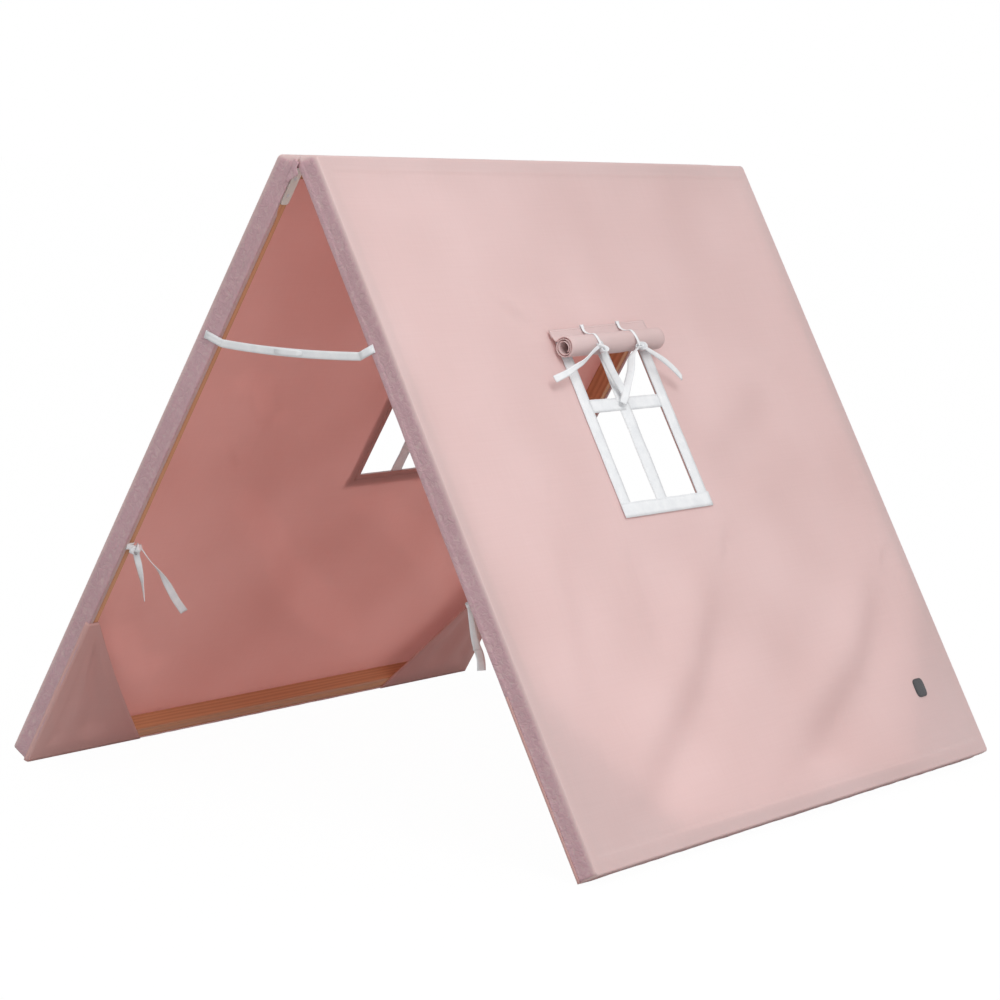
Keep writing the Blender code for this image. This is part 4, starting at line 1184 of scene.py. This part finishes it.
class TENT_OT_window_tapes(bpy.types.Operator):
    """Sew the white tapes round each window, with its upright and cross bars"""
    bl_idname = "tent.window_tapes"
    bl_label = "Window Tapes"

    def execute(self, context):
        for side in SIDES:
            self.sew_tapes(context.scene.tent_sizes, side)
        return {"FINISHED"}

    def sew_tapes(self, sizes, side):
        """Six tapes: two sides, top, foot, a cross bar under and an upright over it."""
        window = WINDOWS[side]
        y0, y1, y2, y3, y4, y5 = window.tape_ys
        z0, z1, z2, z3, z4, z5 = window.tape_zs
        # The top tape lies behind the flap, a little lower where the flap's hem slants
        z5 -= 0.008
        # Each tape: start and end of its middle line, width, and how many tapes it lies on
        tapes = (
            ((y0 + 0.004, (z2 + z3) / 2), (y5 - 0.004, (z2 + z3) / 2), z3 - z2, 0),
            (((y2 + y3) / 2, z0 + 0.004), ((y2 + y3) / 2, z5 - 0.004), y3 - y2, 1),
            (((y0 + y1) / 2, z0 + 0.002), ((y0 + y1) / 2, z5), y1 - y0, 1),
            (((y4 + y5) / 2, z0 + 0.002), ((y4 + y5) / 2, z5), y5 - y4, 1),
            ((y0 - 0.001, (z0 + z1) / 2), (y5 + 0.003, (z0 + z1) / 2), z1 - z0, 2),
            ((y0, (z4 + z5) / 2), (y5, (z4 + z5) / 2), z5 - z4, 2),
        )
        # Their edges waver, and they lie a little slack over the opening
        edge_waver, slack, slack_fade = 0.0006, 0.0012, 0.03
        bm = bmesh.new()
        sewing = bmesh.new()
        for number, (start, end, width, level) in enumerate(tapes):
            start, end = Vector(start), Vector(end)
            run = end - start
            count = max(2, round(run.length / sizes.cloth_step))
            along = run.normalized()
            beside = Vector((-along.y, along.x))
            rows = []
            for index in range(count + 1):
                at = start + run * index / count
                row = []
                for share in TAPE_SHARES:
                    place = Vector((at.x * 40, at.y * 40, number * 3 + share))
                    waver = noise.noise(place) * edge_waver
                    point = at + beside * (share * width + waver)
                    free = min(
                        point.x - window.ys[0], window.ys[1] - point.x,
                        point.y - window.zs[0], window.zs[1] - point.y,
                    )
                    x = SHEET_OUT + AIR + (level + 0.5) * sizes.tape_thickness
                    x += sheet_lift(side, point.x, point.y)
                    x += slack * noise.noise(place * 0.7) * ease(free / slack_fade)
                    row.append((Vector((x, point.x, point.y)), (share * width, run.length * index / count)))
                rows.append(row)
            add_surface(bm, rows)
            self.stitch_tape(sewing, sizes, rows, width)
        trim = add_piece(f"{side}_window_tapes", bm, tape(), side, sizes.tape_thickness * 0.85)
        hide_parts(f"{side}_window_trim")
        add_piece(f"{side}_window_stitches", sewing, sewing_thread(*WHITE_THREAD), side)

    def stitch_tape(self, sewing, sizes, rows, width):
        """Two rows of stitches, close to the edges of a tape."""
        inset = 0.0022 / width
        for share in (inset, 1 - inset):
            column = 0 if share < 0.5 else 3
            part = share * 4 - column
            line = [
                row[column][0].lerp(row[column + 1][0], part) + Vector((sizes.tape_thickness * 0.5, 0, 0))
                for row in rows
            ]
            add_stitches(sewing, line, (1, 0, 0))


class TENT_OT_flaps(bpy.types.Operator):
    """Roll the window flaps up to their seams"""
    bl_idname = "tent.flaps"
    bl_label = "Rolled Flaps"

    def execute(self, context):
        for side in SIDES:
            self.roll_flap(context.scene.tent_sizes, side)
        return {"FINISHED"}

    def roll_flap(self, sizes, side):
        """A flap: a doubled hem, a short slope out from the sheet, and a spiral that starts over the roll."""
        window = WINDOWS[side]
        low, high = window.flap_low.y, window.flap_high.y
        base = SHEET_OUT + AIR + 3 * sizes.tape_thickness
        cloth = sizes.cloth_thickness
        across = window_shift(side).y
        ties = [band[-1][1] + across for band in TIE_BANDS.values()]
        hem_rise, hem_slant, hem_depth = 0.0225, 0.0095, 0.0095
        roll_slant, tie_reach, tie_pinch, lumps = 0.0046, 0.011, 0.07, 0.030
        # The roll is pressed a little flat where it lies on the tapes
        pressed = 0.94
        # Where on the roll the spiral starts, and its steps in one turn and in all
        start = math.radians(118)
        turn_steps = 26
        count = round((sizes.roll_radius - sizes.roll_core) / sizes.roll_pitch * turn_steps)
        rows, hem_line = [], []
        for y in steps(low, high, 0.005):
            share = (y - low) / (high - low)
            # The hem and the roll both hang a little lower at their first end
            top = window.zs[1] + hem_rise + hem_slant * share
            seam = top - hem_depth
            radius = sizes.roll_radius + sizes.roll_swell * share
            x0 = base + pressed * radius
            z0 = window.zs[1] - sizes.roll_drop + roll_slant * (share - 0.5)
            pinch = sum(bell((y - tie) / tie_reach) for tie in ties)
            wave = noise.noise(Vector((y * 14, 2.0 if side == "right" else 5.0, 0)))
            swell = 1 + lumps * wave - tie_pinch * pinch
            x1, z1 = x0 + radius * swell * math.cos(start), z0 + radius * swell * math.sin(start)
            front = base + 2.0 * cloth
            section = [
                (base + 0.5 * cloth, seam - 0.003, None), (base + 0.5 * cloth, (seam + top) / 2, None),
                (base + 0.6 * cloth, top - 0.0008, None), (base + 1.1 * cloth, top, None),
                (base + 1.6 * cloth, top - 0.0008, None), (base + 1.8 * cloth, (seam + top) / 2, None),
                (front, seam, None), (front * 0.7 + x1 * 0.3, seam * 0.4 + z1 * 0.6 - 0.0008, None),
                (front * 0.4 + x1 * 0.6, seam * 0.1 + z1 * 0.9 - 0.0008, None),
            ]
            section += [(None, None, math.tau * step / turn_steps) for step in range(count + 1)]
            row = []
            run = 0.0
            for x, z, turned in section:
                y_at = y
                if turned is not None:
                    # A loose spiral, a little flattened toward its middle, its inner turns drawn in endways
                    at = radius - sizes.roll_pitch * turned / math.tau
                    at *= swell + 0.025 * ease(turned / 3) * noise.noise(Vector((turned * 0.7, y * 16, 4.0)))
                    inner = max(1 - at / radius, 0.0)
                    x = x0 + at * math.cos(start - turned) * (1 - 0.26 * inner)
                    z = z0 + at * math.sin(start - turned) * (1 + 0.06 * inner)
                    y_at = low + (y - low) * (1 - 0.040 * ease(turned / 1.5))
                    y_at += 0.0015 * math.sin(turned * 0.9)
                point = Vector((x, y_at, z))
                if row:
                    run += (point - row[-1][0]).length
                row.append((point, (y, -run)))
            rows.append(row)
            hem_line.append(Vector((base + 2.35 * cloth, y, top - 0.0026)))
        bm = bmesh.new()
        add_surface(bm, rows)
        flap = add_piece(f"{side}_flap_cloth", bm, canvas(), side, cloth)
        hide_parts(f"{side}_window_flap")
        sew_line(f"{side}_flap_stitches", hem_line[1:-1], (1, 0, 0), PINK_THREAD, side)


def window_shift(side):
    """How far the window of a side lies from where the right one is, in the panel's axes."""
    window, right = WINDOWS[side], WINDOWS["right"]
    return Vector((0.0, window.ys[0] - right.ys[0], window.zs[0] - right.zs[0]))


class TENT_OT_flap_ties(bpy.types.Operator):
    """Tie the rolled flaps with tape"""
    bl_idname = "tent.flap_ties"
    bl_label = "Flap Ties"

    def execute(self, context):
        for side, end in PANEL_ENDS:
            self.tie_flap(context.scene.tent_sizes, side, end)
        return {"FINISHED"}

    def tie_flap(self, sizes, side, end):
        """A loop at the hem, a band over the roll, a knot under its front, and two tails."""
        shift = window_shift(side)
        points = [Vector(point) + shift for point in TIE_BANDS[end]]
        bm = bmesh.new()
        route_tape(bm, points, [(0, 1, 0), (0, 1, 0), (0, 1, 0.2)], FLAP_BAND_WIDTHS, 6, KNOT_CUP)
        knot = points[-1] + Vector((0.0012, 0.0, -0.0012))
        turn = Matrix.Rotation(math.radians(20 * end), 3, "X") @ Matrix.Rotation(math.radians(66), 3, "Y")
        knot_size, knot_width = Vector((0.0095, 0.0105, 0.0050)), 0.0076
        add_knot(bm, knot, knot_size, turn, knot_width)
        tails = [[Vector(point) + shift for point in tail] for tail in TIE_TAILS[end]]
        in_knot = 0.12
        length = route_length(points) + in_knot
        length += hang_tails(bm, tails, TAIL_TURNS[end], FLAP_TAIL_WIDTHS, TAIL_CUP)
        name = f"{side}_{end_word(side, end)}_flap_tie"
        tie = add_piece(f"{name}_tape", bm, tape(), side, sizes.tape_thickness)
        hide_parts(name)


class TENT_OT_stile_ties(bpy.types.Operator):
    """Tie the covers to the sloping battens"""
    bl_idname = "tent.stile_ties"
    bl_label = "Batten Ties"

    def execute(self, context):
        for side, end in PANEL_ENDS:
            self.tie_stile(context.scene.tent_sizes, side, end)
        return {"FINISHED"}

    def tie_stile(self, sizes, side, end):
        """A tape round two faces of a batten, a knot at its inner corner and two hanging tails."""
        word = end_word(side, end)
        kind = f"{side}_front" if word == "front" else "back"
        tails = [[Vector((x, end * y, z)) for x, y, z in tail] for tail in BATTEN_TAILS[kind]]
        level = min(TIE_HIGH.z - TIE_WIDTH / 2, tails[0][0].z - 0.003)
        gap = AIR + sizes.tape_thickness / 2
        inboard = end * (STILE_LOW.y - gap)
        inner = WOOD_IN - gap
        bm = bmesh.new()
        band = [
            (WOOD_OUT - 0.003, inboard, level + 0.002), (WOOD_OUT - 0.018, inboard, level + 0.001),
            (WOOD_IN + 0.003, inboard, level), (WOOD_IN + 0.0005, inboard - end * 0.0002, level),
            (inner, inboard + end * 0.001, level), (inner, inboard + end * 0.004, level),
            (inner, end * (STILE_HIGH.y - 0.001), level + 0.001),
        ]
        route_tape(bm, band, [(0, 0, 1), (0, 0, 1)], (TIE_WIDTH, TIE_WIDTH), 3)
        # A second pass of the tape runs from the hem to the knot
        knot = Vector((inner - 0.0085, inboard - end * 0.0010, level - 0.0010))
        second = [
            (inner - 0.0008, end * (STILE_HIGH.y - 0.004), level + 0.001),
            (inner - 0.0030, end * (STILE_LOW.y + 0.010), level + 0.001),
            knot + Vector((0.001, end * 0.004, 0.001)),
        ]
        route_tape(bm, second, [(0.2, 0, 1), (0.5, 0, 1)], (0.0105, 0.0080), 5, KNOT_CUP)
        turn = Matrix.Rotation(math.radians(25 * end), 3, "Z") @ Matrix.Rotation(math.radians(70), 3, "Y")
        knot_size, knot_width = Vector((0.0095, 0.0120, 0.0060)), 0.0085
        add_knot(bm, knot, knot_size, turn, knot_width)
        turns = [[(x, end * y, z) for x, y, z in across] for across in BATTEN_TURNS[kind]]
        in_knot = 0.14
        length = route_length(band) + in_knot + hang_tails(bm, tails, turns, BATTEN_TAIL_WIDTHS, KNOT_CUP)
        name = f"{side}_{word}_stile_tie"
        tie = add_piece(f"{name}_tape", bm, tape(), side, sizes.tape_thickness)
        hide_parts(name)
        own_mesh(tie)


class TENT_OT_straps(bpy.types.Operator):
    """Sew the tapes that keep the tent from spreading, across its open ends"""
    bl_idname = "tent.straps"
    bl_label = "End Straps"

    def execute(self, context):
        for end in ENDS:
            self.sew_strap(context.scene.tent_sizes, end)
        return {"FINISHED"}

    def sew_strap(self, sizes, end):
        """One tape with its ends sewn to the covers at a slant, and an overlap in the middle."""
        plane = end * (COVER_END + 0.0012 + sizes.tape_thickness)
        width = 0.013
        sag, bulge = 0.0042, 0.0200
        low = PIVOT.z - 0.285
        knees = (-0.1440, 0.1355)
        points = ((-0.180, 0.0172), (knees[0], 0.0050), (knees[1], 0.0045), (0.163, 0.0185))
        left, left_knee, right_knee, right = (Vector((x * -end, plane, low + z)) for x, z in points)
        route = [left, left.lerp(left_knee, 0.5), left_knee]
        for share in steps(0, 1, 0.05)[1:-1]:
            point = left_knee.lerp(right_knee, share)
            point.z -= 4 * share * (1 - share) * sag
            # It bulges out unevenly, so that it can lie over itself when the tent is folded
            point.y += end * bulge * share * (1 - share) ** 2
            route.append(point)
        route += [right_knee, right_knee.lerp(right, 0.5), right]
        facing = Vector((0, end, 0))
        across = [tangent.cross(facing) for tangent in tangents(route)]
        bm = bmesh.new()
        add_ribbon(bm, route, across, [width] * len(route))
        # A second layer: the overlap in the middle and the turned ends
        layer = facing * (sizes.tape_thickness * 1.15)
        overlap_half = 0.036
        overlap = [point + layer for point in route if abs(point.x) < overlap_half]
        widths = spread([0.006, 0.0105, 0.0105, 0.0105, 0.006], len(overlap))
        add_ribbon(bm, overlap, [Vector((0, 0, 1))] * len(overlap), widths)
        for start, finish in ((route[0], route[2]), (route[-1], route[-3])):
            patch = [start.lerp(finish, share) + layer for share in (0.06, 0.4, 0.7, 0.96)]
            direction = (finish - start).normalized().cross(facing)
            add_ribbon(bm, patch, [direction] * 4, [width * 0.86] * 4)
        word = "front" if end < 0 else "back"
        strap = add_piece(f"{word}_strap_tape", bm, tape(), None, sizes.tape_thickness)
        knees = [x * -end for x in knees][::-end]
        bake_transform(strap)
        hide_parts(f"{word}_strap")
        sewn_in = 0.12
        line_length(route) + sewn_in


class TENT_OT_patch(bpy.types.Operator):
    """Sew the small plain felt patch"""
    bl_idname = "tent.patch"
    bl_label = "Patch"

    def execute(self, context):
        middle = (PATCH_LOW + PATCH_HIGH) / 2
        half = (PATCH_HIGH.y - PATCH_LOW.y) / 2
        felt_thickness, stand, edge_drop = 0.001, 0.0011, 0.0005
        rings = []
        for share in (0.0, 0.4, 0.8, 0.94, 1.0):
            ring = []
            base = SHEET_OUT + AIR + stand - edge_drop * ease(share * 5 - 4)
            for angle in steps(0.0, math.tau, math.tau / 40):
                # A square with rounded corners
                power = (abs(math.cos(angle)) ** 4 + abs(math.sin(angle)) ** 4) ** -0.25
                y = middle.y + half * share * power * math.cos(angle)
                z = middle.z + half * share * power * math.sin(angle)
                ring.append(Vector((base + sheet_lift("right", y, z), y, z)))
            rings.append(ring)
        bm = bmesh.new()
        add_surface(bm, [[(point, (point.y, point.z)) for point in ring] for ring in rings])
        patch = add_piece(
            "right_patch_felt", bm, pressed_felt(), "right", felt_thickness, -1.0, (1, 0, 0),
        )
        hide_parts("right_patch")
        # Its stitches lie just inside its edge, on the felt
        inset, on_felt = 0.86, 0.0005
        line = [Vector((point.x + on_felt, *middle.lerp(point, inset)[1:])) for point in rings[-1]]
        sew_line("right_patch_stitches", line, (1, 0, 0), GREY_THREAD, "right")
        return {"FINISHED"}


class TENT_OT_frame_finish(bpy.types.Operator):
    """Give the wooden frame and the metal fittings their finish"""
    bl_idname = "tent.frame_finish"
    bl_label = "Wood and Metal"

    def execute(self, context):
        colours = context.scene.tent_colours
        # The grain is turned to run along the battens
        stiles = {
            "right": oiled_pine("oiled_pine_planed_right_stiles", (0, LEAN, 0)),
            "left": oiled_pine("oiled_pine_planed_left_stiles", (0, -LEAN, 0)),
        }
        rails = oiled_pine("oiled_pine_planed_rails", (math.radians(90), 0, 0))
        zinc = plated_metal("zinc_plated_steel_pressed", colours.zinc, 0.34, 0.52, 0.006)
        steel = plated_metal("bright_plated_steel_turned", colours.steel, 0.24, 0.38, 0.003)
        for name, node in frame["nodes"].items():
            if name.endswith("_stile"):
                material = stiles[name.split("_")[0]]
            elif name.endswith("_rail"):
                material = rails
            elif name.endswith("_leaf"):
                material = zinc
            elif name.endswith(("_bolt", "_nut", "_pin", "_screw")):
                material = steel
            else:
                continue
            node.data.materials.clear()
            node.data.materials.append(material)
        return {"FINISHED"}


def seen_plainly(tree):
    """A node that is 1 for rays that show a surface: from the camera, off gloss or through the cloth."""
    rays = add_node(tree, "LightPath")
    gloss = add_node(tree, "Math", {"operation": "MAXIMUM"}, {
        0: (rays, "Is Camera Ray"), 1: (rays, "Is Glossy Ray"),
    })
    return add_node(tree, "Math", {"operation": "MAXIMUM"}, {0: gloss, 1: (rays, "Is Transmission Ray")})


class TENT_OT_stage(bpy.types.Operator):
    """Set the floor, the soft lights and the camera"""
    bl_idname = "tent.stage"
    bl_label = "Stage"

    def execute(self, context):
        self.lay_floor(context.scene)
        self.surround_tent(context.scene)
        self.hang_lamp()
        self.place_camera(context.scene)
        context.scene.view_settings.view_transform = "Standard"
        return {"FINISHED"}

    def lay_floor(self, scene):
        """A pale floor that the camera sees as white, and that keeps the tent's shadow."""
        half = 60
        corners = [(-half, -half, 0), (half, -half, 0), (half, half, 0), (-half, half, 0)]
        mesh = bpy.data.meshes.new("floor")
        mesh.from_pydata(corners, [], [(0, 1, 2, 3)])
        floor = add_object("floor", mesh)
        material, tree = new_material("white_studio_floor_painted")
        place = add_node(tree, "TexCoord")
        # Roller stipple of the paint, 4 mm
        stipple = add_node(tree, "TexNoise", {"Scale": 1 / 0.004, "Detail": 2.0}, {
            "Vector": (place, "Object"),
        })
        rough = add_node(tree, "MapRange", {"To Min": 0.85, "To Max": 0.95}, {"Value": stipple})
        painted = add_node(tree, "BsdfPrincipled", {
            "Base Color": scene.tent_colours.floor, "Specular IOR Level": 0.2,
        }, {"Roughness": rough})
        # The white that the camera sees is only just mixed with the paint, so that a faint shadow stays
        white = add_node(tree, "Emission", {"Color": (1, 1, 1, 1), "Strength": 1.019})
        share = add_node(tree, "Math", {"operation": "MULTIPLY", 1: 0.96}, {0: seen_plainly(tree)})
        mix = add_node(tree, "MixShader", None, {0: share, 1: painted, 2: white})
        add_node(tree, "OutputMaterial", None, {"Surface": mix})
        mesh.materials.append(material)

    def surround_tent(self, scene):
        """An even white surround, a little dimmer as a light than as it is seen."""
        world = bpy.data.worlds.new("studio_surround")
        scene.world = world
        world.use_nodes = True
        tree = world.node_tree
        tree.nodes.clear()
        strength = add_node(tree, "MapRange", {"To Min": 0.795, "To Max": 1.0}, {"Value": seen_plainly(tree)})
        surround = add_node(tree, "Background", {"Color": (1, 1, 1, 1)}, {"Strength": strength})
        add_node(tree, "OutputWorld", None, {"Surface": surround})

    def hang_lamp(self):
        """A large soft lamp in front of the tent, to its right."""
        data = bpy.data.lights.new("soft_key", "AREA")
        data.shape = "SQUARE"
        data.size = 1.5
        data.energy = 33
        lamp = add_object("soft_key", data)
        aim = Vector((0.2, -0.1, 0.8))
        toward = Vector((0.62, -0.40, 0.68)).normalized()
        distance = 2.7
        lamp.location = aim + toward * distance
        lamp.rotation_euler = (-toward).to_track_quat("-Z", "Y").to_euler()

    def place_camera(self, scene):
        """The photograph's view: a long lens, a little above the ridge."""
        turn, dip, roll = 0.642649, 0.125144, 0.033382
        stand = (2.869352, -3.892375, 1.060578)
        forward = Vector((-math.sin(turn) * math.cos(dip), math.cos(turn) * math.cos(dip), -math.sin(dip)))
        level = Vector((math.cos(turn), math.sin(turn), 0.0))
        upright = level.cross(forward)
        right = level * math.cos(roll) + upright * math.sin(roll)
        up = -level * math.sin(roll) + upright * math.cos(roll)
        data = bpy.data.cameras.new("photo_view")
        data.lens = 102.63
        data.sensor_width = 36.0
        camera = add_object("photo_view", data)
        axes = Matrix((right, up, -forward)).transposed().to_4x4()
        camera.matrix_world = Matrix.Translation(stand) @ axes
        scene.camera = camera


OPERATORS = (
    TENT_OT_covers, TENT_OT_pockets, TENT_OT_window_tapes, TENT_OT_flaps, TENT_OT_flap_ties,
    TENT_OT_stile_ties, TENT_OT_straps, TENT_OT_patch, TENT_OT_frame_finish, TENT_OT_stage,
)


class TENT_PT_looks(bpy.types.Panel):
    """The tent's pieces, in the order in which they are made"""
    bl_idname = "TENT_PT_looks"
    bl_label = "Play Tent"
    bl_space_type = "VIEW_3D"
    bl_region_type = "UI"
    bl_category = "Play Tent"

    def draw(self, context):
        column = self.layout.column()
        for group in (context.scene.tent_sizes, context.scene.tent_colours):
            for name in group.bl_rna.properties.keys():
                if name not in ("rna_type", "name"):
                    column.prop(group, name)
        for operator in OPERATORS:
            column.operator(operator.bl_idname)


CLASSES = (TentSizes, TentColours, *OPERATORS, TENT_PT_looks)


def register():
    """Register the classes and the settings."""
    for cls in CLASSES:
        bpy.utils.register_class(cls)
    bpy.types.Scene.tent_sizes = bpy.props.PointerProperty(type=TentSizes)
    bpy.types.Scene.tent_colours = bpy.props.PointerProperty(type=TentColours)


def unregister():
    """Undo register."""
    del bpy.types.Scene.tent_colours
    del bpy.types.Scene.tent_sizes
    for cls in reversed(CLASSES):
        bpy.utils.unregister_class(cls)


def main():
    """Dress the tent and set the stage."""
    register()
    bpy.ops.tent.covers()
    bpy.ops.tent.pockets()
    bpy.ops.tent.window_tapes()
    bpy.ops.tent.flaps()
    bpy.ops.tent.flap_ties()
    bpy.ops.tent.stile_ties()
    bpy.ops.tent.straps()
    bpy.ops.tent.patch()
    bpy.ops.tent.frame_finish()
    bpy.ops.tent.stage()
    bpy.context.view_layer.update()


if __name__ == "__main__":
    main()
